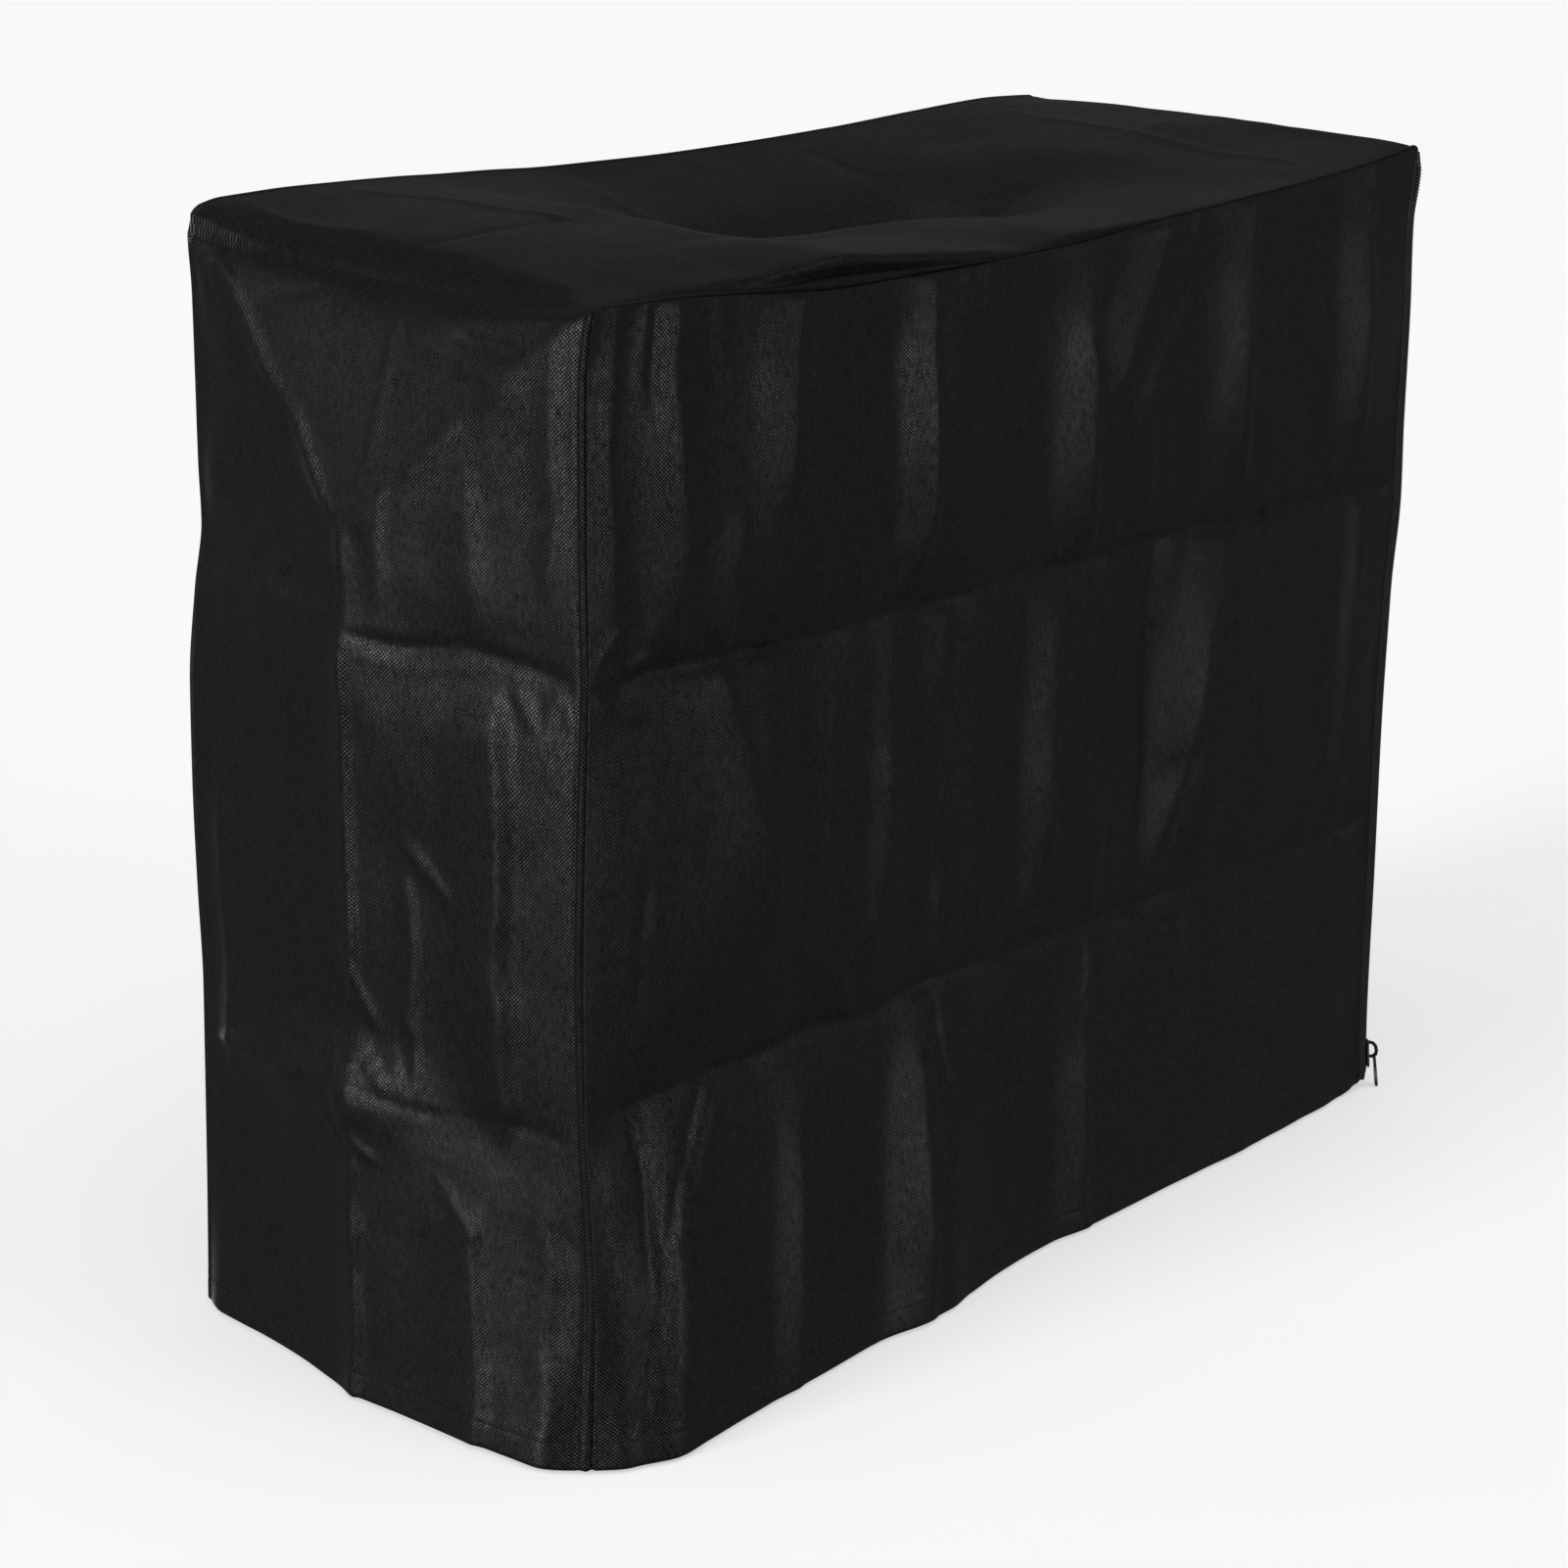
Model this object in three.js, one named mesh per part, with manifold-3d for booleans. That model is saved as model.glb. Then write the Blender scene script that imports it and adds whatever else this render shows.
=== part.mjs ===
// A dust cover for a computer tower: a box of woven cloth, open underneath, sewn from two face
// panels and one strip that runs up the left end, over the top and down the right end.
// A zip closes the upright edge at the front right. Sizes are in mm.
// X runs along the front panel, the front faces -Y, and Z is up. The shape is laid out from the
// hem, and the finished group is lowered so that its origin is the mount under the top cloth.
import * as THREE from "three";
import Module from "manifold-3d";

const wasm = await Module();
wasm.setup();

// Main sizes
const LENGTH = 510;
const DEPTH = 210;
const HEIGHT = 432;
const CLOTH = 1.2;
const SEAM_GAP = 0.35;
const MOUNT_HEIGHT = 392.4;
const SEAM_ROLL = 5;
const LEFT_ROLL = 28;
const RIGHT_ROLL = 6;
const ZIP_CUT_FRONT = 5.5;
const ZIP_CUT_SIDE = 9;
const UPPER_FOLD = 291;
const LOWER_FOLD = 136;

const HALF_LENGTH = LENGTH / 2;
const HALF_DEPTH = DEPTH / 2;
// Two mitred edges stand a seam gap apart when each is held back by this much.
const EDGE_BACK = SEAM_GAP / Math.SQRT2;

// Upright edges: stray is how far the edge leans towards the right of the near corner's view,
// spread is how far it stands out diagonally from the box.
const NEAR_EDGE = [
  { z: 0, stray: 0.3, spread: 3.2 },
  { z: 60, stray: 1.3, spread: 1.2 },
  { z: 97, stray: -0.2, spread: 0.3 },
  { z: 135, stray: -2.4, spread: 0 },
  { z: 192, stray: -3.4, spread: 0 },
  { z: 248, stray: -2.6, spread: 0 },
  { z: 301, stray: -1.6, spread: 0 },
  { z: 349, stray: -2.4, spread: 0 },
  { z: 402, stray: -2.6, spread: 0 },
  { z: 432, stray: 0, spread: 0 },
];
const FAR_EDGE = [
  { z: 0, stray: -2.3, spread: 0 },
  { z: 53, stray: -1.6, spread: 0 },
  { z: 95, stray: -1.2, spread: 0 },
  { z: 137, stray: -0.8, spread: 0 },
  { z: 177, stray: -2, spread: 0 },
  { z: 217, stray: -2.6, spread: 0 },
  { z: 256, stray: -2.4, spread: 0 },
  { z: 294, stray: 0.6, spread: 0 },
  { z: 322, stray: 4, spread: 0 },
  { z: 345, stray: 3.4, spread: 0 },
  { z: 407, stray: 3, spread: 0 },
  { z: 432, stray: 1.6, spread: 0 },
];
// The zip's edge: turn is how far the teeth face round from the front, in degrees.
const ZIP_EDGE = [
  { z: 0, stray: 4.3, turn: 40 },
  { z: 22, stray: 2.6, turn: 40 },
  { z: 51, stray: 1.8, turn: 38 },
  { z: 99, stray: 1.2, turn: 38 },
  { z: 192, stray: -0.2, turn: 36 },
  { z: 237, stray: 0, turn: 36 },
  { z: 276, stray: 1.6, turn: 34 },
  { z: 312, stray: 0.7, turn: 34 },
  { z: 360, stray: 0.2, turn: 32 },
  { z: 400, stray: -1, turn: 26 },
  { z: 414, stray: 0, turn: 14 },
  { z: 432, stray: 0.8, turn: 8 },
];

// The left end, level by level: how far it stands out at five places across. The packing crease
// down its middle is a ridge, and the crosswise creases dip in the near half, rise in the far half.
const LEFT_END = [
  { z: 0, near_rim: 12, near_quarter: 16.5, middle: 20, far_quarter: 9.5, far_rim: 6.5 },
  { z: 55, near_rim: 6, near_quarter: 13, middle: 19, far_quarter: 9, far_rim: 4 },
  { z: 105, near_rim: 3.5, near_quarter: 11, middle: 20, far_quarter: 10, far_rim: 3 },
  { z: 128, near_rim: 2, near_quarter: 8.5, middle: 23, far_quarter: 12, far_rim: 3.5 },
  { z: 155, near_rim: 3, near_quarter: 9.5, middle: 16, far_quarter: 9.5, far_rim: 3 },
  { z: 215, near_rim: 4, near_quarter: 10.5, middle: 16.5, far_quarter: 8.5, far_rim: 2.5 },
  { z: 265, near_rim: 4, near_quarter: 11, middle: 18.5, far_quarter: 9.5, far_rim: 2.5 },
  { z: 291, near_rim: 2, near_quarter: 8, middle: 20, far_quarter: 11.5, far_rim: 3.5 },
  { z: 318, near_rim: 3, near_quarter: 10, middle: 19, far_quarter: 9.5, far_rim: 3 },
  { z: 432, near_rim: 3.5, near_quarter: 10, middle: 18.5, far_quarter: 9.5, far_rim: 3.5 },
];
const RIM = 15;
// Above the apex the end folds inwards to the top edge, between two ridges that run to its corners.
const LEFT_APEX_BELOW_TOP = 90;
const LEFT_APEX_OUT = 18.5;
const APEX_SOFTNESS = 1.6;

// The right end, the same way but plainer.
const RIGHT_END = [
  { z: 0, near_rim: 2, near_quarter: 6, middle: 9, far_quarter: 6, far_rim: 2 },
  { z: 136, near_rim: 1, near_quarter: 4, middle: 9, far_quarter: 7, far_rim: 2 },
  { z: 215, near_rim: 2, near_quarter: 6, middle: 9, far_quarter: 5, far_rim: 1 },
  { z: 291, near_rim: 1, near_quarter: 4, middle: 9, far_quarter: 7, far_rim: 2 },
  { z: 432, near_rim: 1.5, near_quarter: 5, middle: 9, far_quarter: 5, far_rim: 1.5 },
];
const RIGHT_APEX_BELOW_TOP = 45;
const RIGHT_APEX_OUT = 9;

// The top, section by section along X: its height above or below the box at five places across.
// Where the top hangs slack, which pulls out the packing fold along its middle
const SLACK = { middle: 5, half_length: 115, fade: 60 };
const TOP = [
  { x: -255, front: -1, front_half: 0, middle: 0, back_half: 1, back: 6.5 },
  { x: -238, front: -2, front_half: 3, middle: 4, back_half: 4.5, back: 9 },
  { x: -215, front: -3, front_half: 5, middle: 6.5, back_half: 6, back: 9 },
  { x: -185, front: -5.5, front_half: 6, middle: 7.5, back_half: 7.5, back: 8 },
  { x: -150, front: -9.2, front_half: 5, middle: 7.5, back_half: 6, back: 6.5 },
  { x: -125, front: -11, front_half: 1, middle: -3, back_half: 1, back: 5 },
  { x: -98, front: -11.5, front_half: -3, middle: -18, back_half: -5, back: 3.7 },
  { x: -72, front: -12, front_half: -4, middle: -30, back_half: -10, back: 2 },
  { x: -43, front: -12.2, front_half: -5, middle: -37, back_half: -14, back: 1 },
  { x: 10, front: -11.8, front_half: -8, middle: -38.5, back_half: -16, back: -0.5 },
  { x: 60, front: -9.6, front_half: -12, middle: -36, back_half: -14, back: -0.8 },
  { x: 110, front: -8, front_half: -10, middle: -19, back_half: -9, back: -0.5 },
  { x: 160, front: -6.3, front_half: -7, middle: -3, back_half: -4, back: 0.8 },
  { x: 213, front: -3.5, front_half: -3, middle: 0.5, back_half: 0.5, back: 1.8 },
  { x: 240, front: -1, front_half: 0, middle: 1, back_half: 1, back: 0.6 },
  { x: 255, front: 0.6, front_half: 3, middle: 2, back_half: 1.2, back: -0.6 },
];

// The lip: top cloth that stands up just behind the front seam and hangs a little over it.
const LIP = [
  { x: -255, rise: 0, over: 0 },
  { x: -205, rise: 1.5, over: 1 },
  { x: -175, rise: 3.5, over: 2.5 },
  { x: -150, rise: 7, over: 4 },
  { x: -124, rise: 10, over: 5.5 },
  { x: -98, rise: 8, over: 5.5 },
  { x: -70, rise: 5.5, over: 5 },
  { x: -42, rise: 3, over: 4 },
  { x: -14, rise: 0.6, over: 1.5 },
  { x: 15, rise: 2.8, over: 3.5 },
  { x: 45, rise: 2, over: 3 },
  { x: 80, rise: 0.4, over: 1 },
  { x: 255, rise: 0, over: 0 },
];
const LIP_PROFILE = [
  { behind: 0, rise: 0, over: 0 },
  { behind: 3, rise: 0.45, over: 0.75 },
  { behind: 8, rise: 1, over: 1 },
  { behind: 17, rise: 0.85, over: 0.4 },
  { behind: 45, rise: 0, over: 0 },
];

// The front panel: how far the hem stands out along its length, and the folds of its three bands.
const FRONT_HEM = [
  { x: -255, out: 0 },
  { x: -243, out: 8.5 },
  { x: -218, out: 13.3 },
  { x: -196, out: 12.7 },
  { x: -164, out: 10.3 },
  { x: -135, out: 8.5 },
  { x: -105, out: 8 },
  { x: -58, out: 8.2 },
  { x: -41, out: 5 },
  { x: -1, out: 1 },
  { x: 20, out: 0 },
  { x: 65, out: 1.5 },
  { x: 121, out: 2 },
  { x: 171, out: 1.8 },
  { x: 208, out: -0.2 },
  { x: 238, out: -1.2 },
  { x: 255, out: 0 },
];
const FRONT_TOP_BAND = [
  { x: -255, out: 0 },
  { x: -243, out: 1.2 },
  { x: -232, out: 0.8 },
  { x: -209, out: 3.6 },
  { x: -195, out: 1.2 },
  { x: -175, out: 1.8 },
  { x: -145, out: 4.2 },
  { x: -94, out: 0.2 },
  { x: -71, out: 4.6 },
  { x: 0, out: -1.4 },
  { x: 28, out: 3.6 },
  { x: 62, out: 2.2 },
  { x: 102, out: -0.8 },
  { x: 133, out: 2.4 },
  { x: 195, out: -1.2 },
  { x: 220, out: 2.8 },
  { x: 255, out: 0 },
];
const FRONT_MIDDLE_BAND = [
  { x: -255, out: 0 },
  { x: -211, out: 3.4 },
  { x: -164, out: 5.6 },
  { x: -136, out: 1 },
  { x: -104, out: 0.4 },
  { x: -91, out: 1.6 },
  { x: -71, out: -2 },
  { x: -33, out: -0.2 },
  { x: -8, out: -2 },
  { x: 12, out: 1.4 },
  { x: 45, out: 0 },
  { x: 80, out: -3.4 },
  { x: 116, out: 5.2 },
  { x: 165, out: 2.4 },
  { x: 213, out: -2.2 },
  { x: 226, out: 1.2 },
  { x: 255, out: 0 },
];
const FRONT_LOWER_BAND = [
  { x: -255, out: 0 },
  { x: -229, out: 0 },
  { x: -210, out: 4 },
  { x: -189, out: 1 },
  { x: -157, out: -0.4 },
  { x: -140, out: 2 },
  { x: -90, out: -1.4 },
  { x: -63, out: 4.2 },
  { x: -16, out: 0 },
  { x: 19, out: -1.4 },
  { x: 41, out: 1.8 },
  { x: 104, out: -0.8 },
  { x: 165, out: 0 },
  { x: 211, out: 1.8 },
  { x: 255, out: 0 },
];
// How far the two crosswise creases lie above their levels, along the front panel and across the
// left end
const FRONT_CREASES = [
  { x: -255, upper: 6.7, lower: -0.2 },
  { x: -150, upper: 8.2, lower: 2.9 },
  { x: 0, upper: 8.1, lower: 4.3 },
  { x: 90, upper: 5.4, lower: 1.7 },
  { x: 200, upper: -1.2, lower: -2.2 },
  { x: 255, upper: -6.4, lower: -5.2 },
];
const LEFT_CREASES = [
  { across: 0, upper: 6.7, lower: -0.2 },
  { across: 50, upper: 7, lower: -5 },
  { across: 105, upper: 6, lower: -4 },
  { across: 160, upper: 6, lower: -9 },
  { across: 210, upper: 6, lower: -14 },
];
const CREASE_REACH = 66;
const HEM_LIFT = [
  { x: -255, lift: 0 },
  { x: 238, lift: 0 },
  { x: 247, lift: 1.3 },
  { x: 255, lift: 2.2 },
];
// Between the crosswise creases each band swells out a little.
const BAND_SWELL = 2.6;
const CREASE_DEPTH = 1.2;
const BAND_ROUNDNESS = 0.7;
// The lower band's folds lean by this much of the hem's own bulge.
const LOWER_LEAN = 1.2;

// The back panel has the same creases, plainer and turned the other way.
const BACK_HEM_OUT = 6;
const BACK_FOLD = [
  { x: -255, out: 0 },
  { x: -215, out: -1.8 },
  { x: -144, out: 1.2 },
  { x: -72, out: -1.8 },
  { x: 0, out: 1.2 },
  { x: 72, out: -1.8 },
  { x: 144, out: 1.2 },
  { x: 213, out: -1.8 },
  { x: 255, out: 0 },
];

// Grid lines of the cloth, closer together where it folds
const LEVELS = [
  0, 12, 24, 40, 57, 76, 97, 115, 127, 136, 145, 160, 180, 204, 228, 250, 268, 281, 291, 301, 314,
  330, 346, 358, 372, 386, 398, 408, 416, 421, 427, 432,
];
const STATIONS = [
  -255, -250, -245, -238, -228, -215, -208, -195, -180, -165, -150, -138, -125, -111, -98, -85, -71,
  -56, -42, -28, -12, 4, 20, 35, 50, 72, 88, 104, 120, 135, 150, 165, 180, 195, 213, 230, 240, 246,
  250, 255,
];
const ACROSS = [0, 3, 8, 17, 30, 47, 66, 86, 105, 124, 145, 165, 184, 199, 210];

// Zip sizes
const TEETH_WIDTH = 5.5;
const TEETH_THICK = 2.2;
const TEETH_BACK = 1;
const TAPE_THICK = 0.8;
const ZIP_FOOT = 4;
const ZIP_HEAD = 421;
const SLIDER_FOOT = 8.5;
const SLIDER_LENGTH = 12.5;
const SLIDER_WIDTH = 7.2;
const SLIDER_BACK_WIDTH = 5;
const SLIDER_PLATE = 1.1;
const SLIDER_POST = { width: 1.4, length: 2.6, above_foot: 0.6 };
const BRIDGE = { width: 1.6, reach: 3.9, bar: 1.3, foot: 3, head: 11.5 };
const PULL = { width: 5.4, length: 16, thick: 1, tilt: 3, eye_width: 3, eye_length: 4, rim: 1.2 };
const MOVE_GAP = 0.35;

const LEFT = new THREE.Vector3(-1, 0, 0);
const RIGHT = new THREE.Vector3(1, 0, 0);
const FRONT = new THREE.Vector3(0, -1, 0);
const BACK = new THREE.Vector3(0, 1, 0);
const NOTHING = new THREE.Vector3(0, 0, 0);

const FABRIC = { color: 0x0c0c0d, roughness: 0.8, metalness: 0 };
const TAPE = { color: 0x0e0e0f, roughness: 0.85, metalness: 0 };
const NYLON = { color: 0x111112, roughness: 0.45, metalness: 0 };
const BLACK_METAL = { color: 0x141415, roughness: 0.35, metalness: 0.6 };
const STEEL = { color: 0xa8a9ac, roughness: 0.25, metalness: 1 };

// A smooth curve through the rows of a table, with no overshoot between them
function reading(rows, key, at, column) {
  const last = rows.length - 1;
  if (at <= rows[0][key]) return rows[0][column];
  if (at >= rows[last][key]) return rows[last][column];
  let i = 0;
  while (rows[i + 1][key] < at) i += 1;
  const rate = (k) => (rows[k + 1][column] - rows[k][column]) / (rows[k + 1][key] - rows[k][key]);
  const slope = (k) => {
    if (k === 0) return rate(0);
    if (k === last) return rate(last - 1);
    const before = rate(k - 1);
    const after = rate(k);
    return before * after <= 0 ? 0 : (2 * before * after) / (before + after);
  };
  const span = rows[i + 1][key] - rows[i][key];
  const f = (at - rows[i][key]) / span;
  const low = rows[i][column];
  const high = rows[i + 1][column];
  return (
    low * (1 + 2 * f) * (1 - f) ** 2 +
    high * f * f * (3 - 2 * f) +
    slope(i) * span * f * (1 - f) ** 2 +
    slope(i + 1) * span * f * f * (f - 1)
  );
}

// The same, through named places on one line
function through(places, at) {
  return reading(places, "at", at, "value");
}

function softLower(a, b, softness) {
  const gap = Math.abs(a - b);
  const round = Math.max(0, 1 - gap / (2 * softness));
  return Math.min(a, b) - 0.5 * softness * round * round;
}

// How far an end stands out at a distance y across it and a level z
function endOut(table, y, z, apexBelow, apexOut) {
  const level = (column) => reading(table, "z", z, column);
  const near = [
    { at: -HALF_DEPTH, value: 0 },
    { at: RIM - HALF_DEPTH, value: level("near_rim") },
    { at: -HALF_DEPTH / 2, value: level("near_quarter") },
    { at: 0, value: level("middle") },
  ];
  const far = [
    { at: 0, value: level("middle") },
    { at: HALF_DEPTH / 2, value: level("far_quarter") },
    { at: HALF_DEPTH - RIM, value: level("far_rim") },
    { at: HALF_DEPTH, value: 0 },
  ];
  const wall = through(y < 0 ? near : far, y);
  const slope = (apexOut * (HEIGHT - z)) / apexBelow;
  return Math.max(0, softLower(wall, slope, APEX_SOFTNESS));
}

// The height of the top cloth above the box at x, y
function topRise(x, y) {
  const columns = ["front", "front_half", "middle", "back_half", "back"];
  const across = columns.map((column, i) => ({
    at: ((i - 2) * HALF_DEPTH) / 2,
    value: reading(TOP, "x", x, column),
  }));
  const folded = through(y < 0 ? across.slice(0, 3) : across.slice(2), y);
  const slack = smooth((SLACK.half_length - Math.abs(x - SLACK.middle)) / SLACK.fade);
  return folded + (through(across, y) - folded) * slack;
}

// The strip's own line at a distance along it from the left hem, bent over a roll of the given
// radius at both top corners, with the way it faces there
function stripLine(along, roll) {
  const fromLeft = along - HEIGHT;
  const fromRight = along - HEIGHT - LENGTH;
  const nearLeft = Math.abs(fromLeft) < roll;
  if (nearLeft || Math.abs(fromRight) < roll) {
    const off = nearLeft ? fromLeft : fromRight;
    const angle = (Math.PI / 4) * (1 + off / roll);
    const side = nearLeft ? -1 : 1;
    const swing = nearLeft ? angle : Math.PI / 2 - angle;
    return {
      x: side * (HALF_LENGTH - roll + roll * Math.cos(swing)),
      z: HEIGHT - roll + roll * Math.sin(swing),
    };
  }
  if (fromLeft < 0) return { x: -HALF_LENGTH, z: along };
  if (fromRight < 0) return { x: along - HEIGHT - HALF_LENGTH, z: HEIGHT };
  return { x: HALF_LENGTH, z: HEIGHT - fromRight };
}

// The way the strip faces at a seam, from its line alone
function seamFacing(along) {
  const before = stripLine(along - 0.1, SEAM_ROLL);
  const after = stripLine(along + 0.1, SEAM_ROLL);
  return new THREE.Vector3(before.z - after.z, 0, after.x - before.x).normalize();
}

// Moves a point with the upright edge it is near
function strayed(point, table, share) {
  const stray = reading(table, "z", point.z, "stray") * share;
  const spread = reading(table, "z", point.z, "spread") * share;
  point.x += 0.66 * stray - spread / Math.SQRT2;
  point.y += -0.75 * stray - spread / Math.SQRT2;
  return point;
}

// A point of the strip's outer face: along it from the left hem, across it from the front seam
function stripPoint(along, across) {
  const share = across / DEPTH;
  const fullRoll = along < HEIGHT + HALF_LENGTH ? LEFT_ROLL : RIGHT_ROLL;
  const roll = SEAM_ROLL + (fullRoll - SEAM_ROLL) * Math.sin(Math.PI * share) ** 0.8;
  const line = stripLine(along, roll);
  const y = across - HALF_DEPTH;
  const point = new THREE.Vector3(line.x, y, line.z);
  if (along < HEIGHT) {
    point.x -= endOut(LEFT_END, y, Math.min(line.z, HEIGHT), LEFT_APEX_BELOW_TOP, LEFT_APEX_OUT);
    point.z += creaseShift(LEFT_CREASES, "across", across, line.z);
    strayed(point, NEAR_EDGE, (1 - share) ** 3);
    strayed(point, FAR_EDGE, share ** 3);
  } else if (along <= HEIGHT + LENGTH) {
    point.z += topRise(along - HEIGHT - HALF_LENGTH, y);
    addLip(point, across);
    strayed(point, FAR_EDGE, share ** 3 * Math.max(0, 1 - (along - HEIGHT) / 60));
  } else {
    point.x += endOut(RIGHT_END, y, line.z, RIGHT_APEX_BELOW_TOP, RIGHT_APEX_OUT);
    const zipped = smooth((HEIGHT - line.z) / 12);
    point.y += (1 - share) ** 2 * ZIP_CUT_SIDE * zipped;
    point.x += (1 - share) ** 2 * 0.66 * reading(ZIP_EDGE, "z", line.z, "stray") * zipped;
  }
  return point;
}

function smooth(f) {
  const g = Math.min(1, Math.max(0, f));
  return g * g * (3 - 2 * g);
}

function addLip(point, behind) {
  const rise = reading(LIP, "x", point.x, "rise");
  const over = reading(LIP, "x", point.x, "over");
  point.z += rise * reading(LIP_PROFILE, "behind", behind, "rise");
  point.y -= over * reading(LIP_PROFILE, "behind", behind, "over");
}

// The share of a band's folds at level z: full in the band's middle, none at the creases
function bandShare(z, from, to) {
  if (z <= from || z >= to) return 0;
  return Math.sin((Math.PI * (z - from)) / (to - from)) ** BAND_ROUNDNESS;
}

// The lower band stays folded down to the hem.
function lowerShare(z) {
  if (z >= LOWER_FOLD) return 0;
  return Math.sin((Math.PI / 2) * (1 - z / LOWER_FOLD)) ** BAND_ROUNDNESS;
}

// How far a place at level z moves up with the crosswise crease nearest to it
function creaseShift(rows, key, at, z) {
  const upper = smooth(1 - Math.abs(z - UPPER_FOLD) / CREASE_REACH);
  const lower = smooth(1 - Math.abs(z - LOWER_FOLD) / CREASE_REACH);
  return upper * reading(rows, key, at, "upper") + lower * reading(rows, key, at, "lower");
}

function frontOut(x, z) {
  const top = bandShare(z, UPPER_FOLD, HEIGHT);
  const middle = bandShare(z, LOWER_FOLD, UPPER_FOLD);
  const lower = lowerShare(z);
  const inside = Math.min(1, (HALF_LENGTH - Math.abs(x)) / 30);
  const hem = Math.max(0, 1 - z / LOWER_FOLD) ** 1.15 * reading(FRONT_HEM, "x", x, "out");
  const leant = x + LOWER_LEAN * hem;
  const swell = BAND_SWELL * (top + middle + 0.6 * lower) * inside;
  const crease = CREASE_DEPTH * inside * Math.max(0, 1 - top - middle - lower) * smooth((HEIGHT - z) / 60);
  return (
    swell -
    crease +
    top * reading(FRONT_TOP_BAND, "x", x, "out") +
    middle * reading(FRONT_MIDDLE_BAND, "x", x, "out") +
    lower * reading(FRONT_LOWER_BAND, "x", leant, "out") * Math.min(1, 0.4 + z / 60) +
    hem
  );
}

function backOut(x, z) {
  const top = bandShare(z, UPPER_FOLD, HEIGHT);
  const middle = bandShare(z, LOWER_FOLD, UPPER_FOLD);
  const lower = lowerShare(z);
  const inside = Math.min(1, (HALF_LENGTH - Math.abs(x)) / 30);
  const fold = reading(BACK_FOLD, "x", x, "out");
  return (
    (BAND_SWELL + 1) * (top + middle + 0.6 * lower) * inside +
    fold * (top - middle + lower) +
    BACK_HEM_OUT * Math.max(0, 1 - z / LOWER_FOLD) * inside
  );
}

// The front panel's right edge, on the zip tape
function zipCorner(z) {
  const stray = reading(ZIP_EDGE, "z", z, "stray");
  return new THREE.Vector3(HALF_LENGTH + 0.5 + 0.66 * stray, -HALF_DEPTH - 0.75 * stray, z);
}

function panelRight(z) {
  const corner = zipCorner(z);
  const cut = smooth((HEIGHT - z) / 12);
  const end = stripPoint(HEIGHT + LENGTH, 0);
  corner.x = corner.x * cut + end.x * (1 - cut) - ZIP_CUT_FRONT * cut;
  corner.y = corner.y * cut + end.y * (1 - cut);
  corner.z = z;
  return corner;
}

// A grid of points inside four edges that meet at their ends
function blend(left, right, bottom, top) {
  const rows = left.length;
  const columns = bottom.length;
  const grid = [];
  for (let i = 0; i < rows; i += 1) {
    const row = [];
    for (let j = 0; j < columns; j += 1) {
      const u = (STATIONS[j] + HALF_LENGTH) / LENGTH;
      const v = LEVELS[i] / HEIGHT;
      const across = left[i].clone().multiplyScalar(1 - u).addScaledVector(right[i], u);
      const up = bottom[j].clone().multiplyScalar(1 - v).addScaledVector(top[j], v);
      const corners = bottom[0].clone().multiplyScalar((1 - u) * (1 - v));
      corners.addScaledVector(bottom[columns - 1], u * (1 - v));
      corners.addScaledVector(top[0], (1 - u) * v);
      corners.addScaledVector(top[columns - 1], u * v);
      row.push(across.add(up).sub(corners));
    }
    grid.push(row);
  }
  return grid;
}

function frontGrid() {
  const left = LEVELS.map((z) => stripPoint(z, 0));
  const top = STATIONS.map((x) => stripPoint(HEIGHT + HALF_LENGTH + x, 0));
  left[left.length - 1] = top[0];
  const cornerLift = HEM_LIFT[HEM_LIFT.length - 1].lift;
  const shift = (x, z) => creaseShift(FRONT_CREASES, "x", x, z);
  const right = LEVELS.map((z) =>
    panelRight(z + shift(HALF_LENGTH, z) + cornerLift * Math.max(0, 1 - z / 40)),
  );
  right[right.length - 1] = top[top.length - 1];
  const bottom = STATIONS.map((x) => {
    const u = (x + HALF_LENGTH) / LENGTH;
    const point = left[0].clone().multiplyScalar(1 - u).addScaledVector(right[0], u);
    point.z = reading(HEM_LIFT, "x", x, "lift");
    return point;
  });
  const grid = blend(left, right, bottom, top);
  for (let i = 0; i < LEVELS.length; i += 1) {
    for (let j = 0; j < STATIONS.length; j += 1) {
      const x = STATIONS[j];
      const z = LEVELS[i];
      const u = (x + HALF_LENGTH) / LENGTH;
      const atEdges = (1 - u) * shift(-HALF_LENGTH, z) + u * shift(HALF_LENGTH, z);
      grid[i][j].y -= frontOut(x, z);
      grid[i][j].z += shift(x, z) - atEdges;
    }
  }
  return grid;
}

function backGrid() {
  const left = LEVELS.map((z) => stripPoint(z, DEPTH));
  const top = STATIONS.map((x) => stripPoint(HEIGHT + HALF_LENGTH + x, DEPTH));
  left[left.length - 1] = top[0];
  const right = LEVELS.map((z) => stripPoint(HEIGHT + LENGTH + HEIGHT - z, DEPTH));
  right[right.length - 1] = top[top.length - 1];
  const bottom = STATIONS.map((x) => {
    const u = (x + HALF_LENGTH) / LENGTH;
    return left[0].clone().multiplyScalar(1 - u).addScaledVector(right[0], u);
  });
  const grid = blend(left, right, bottom, top);
  for (let i = 0; i < LEVELS.length; i += 1) {
    for (let j = 0; j < STATIONS.length; j += 1) grid[i][j].y += backOut(STATIONS[j], LEVELS[i]);
  }
  // Turned round so that its rows and columns face outwards, as the front's do
  return grid.map((row) => row.reverse());
}

function stripGrid() {
  return stripStops().map((along) => ACROSS.map((across) => stripPoint(along, DEPTH - across)));
}

// Where the strip's grid lines cross it, up the left end, over the top and down the right end
function stripStops() {
  const levels = LEVELS.slice(0, -1);
  const top = STATIONS.map((x) => HEIGHT + HALF_LENGTH + x);
  return [...levels, ...top, ...levels.map((z) => 2 * HEIGHT + LENGTH - z).reverse()];
}

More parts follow.
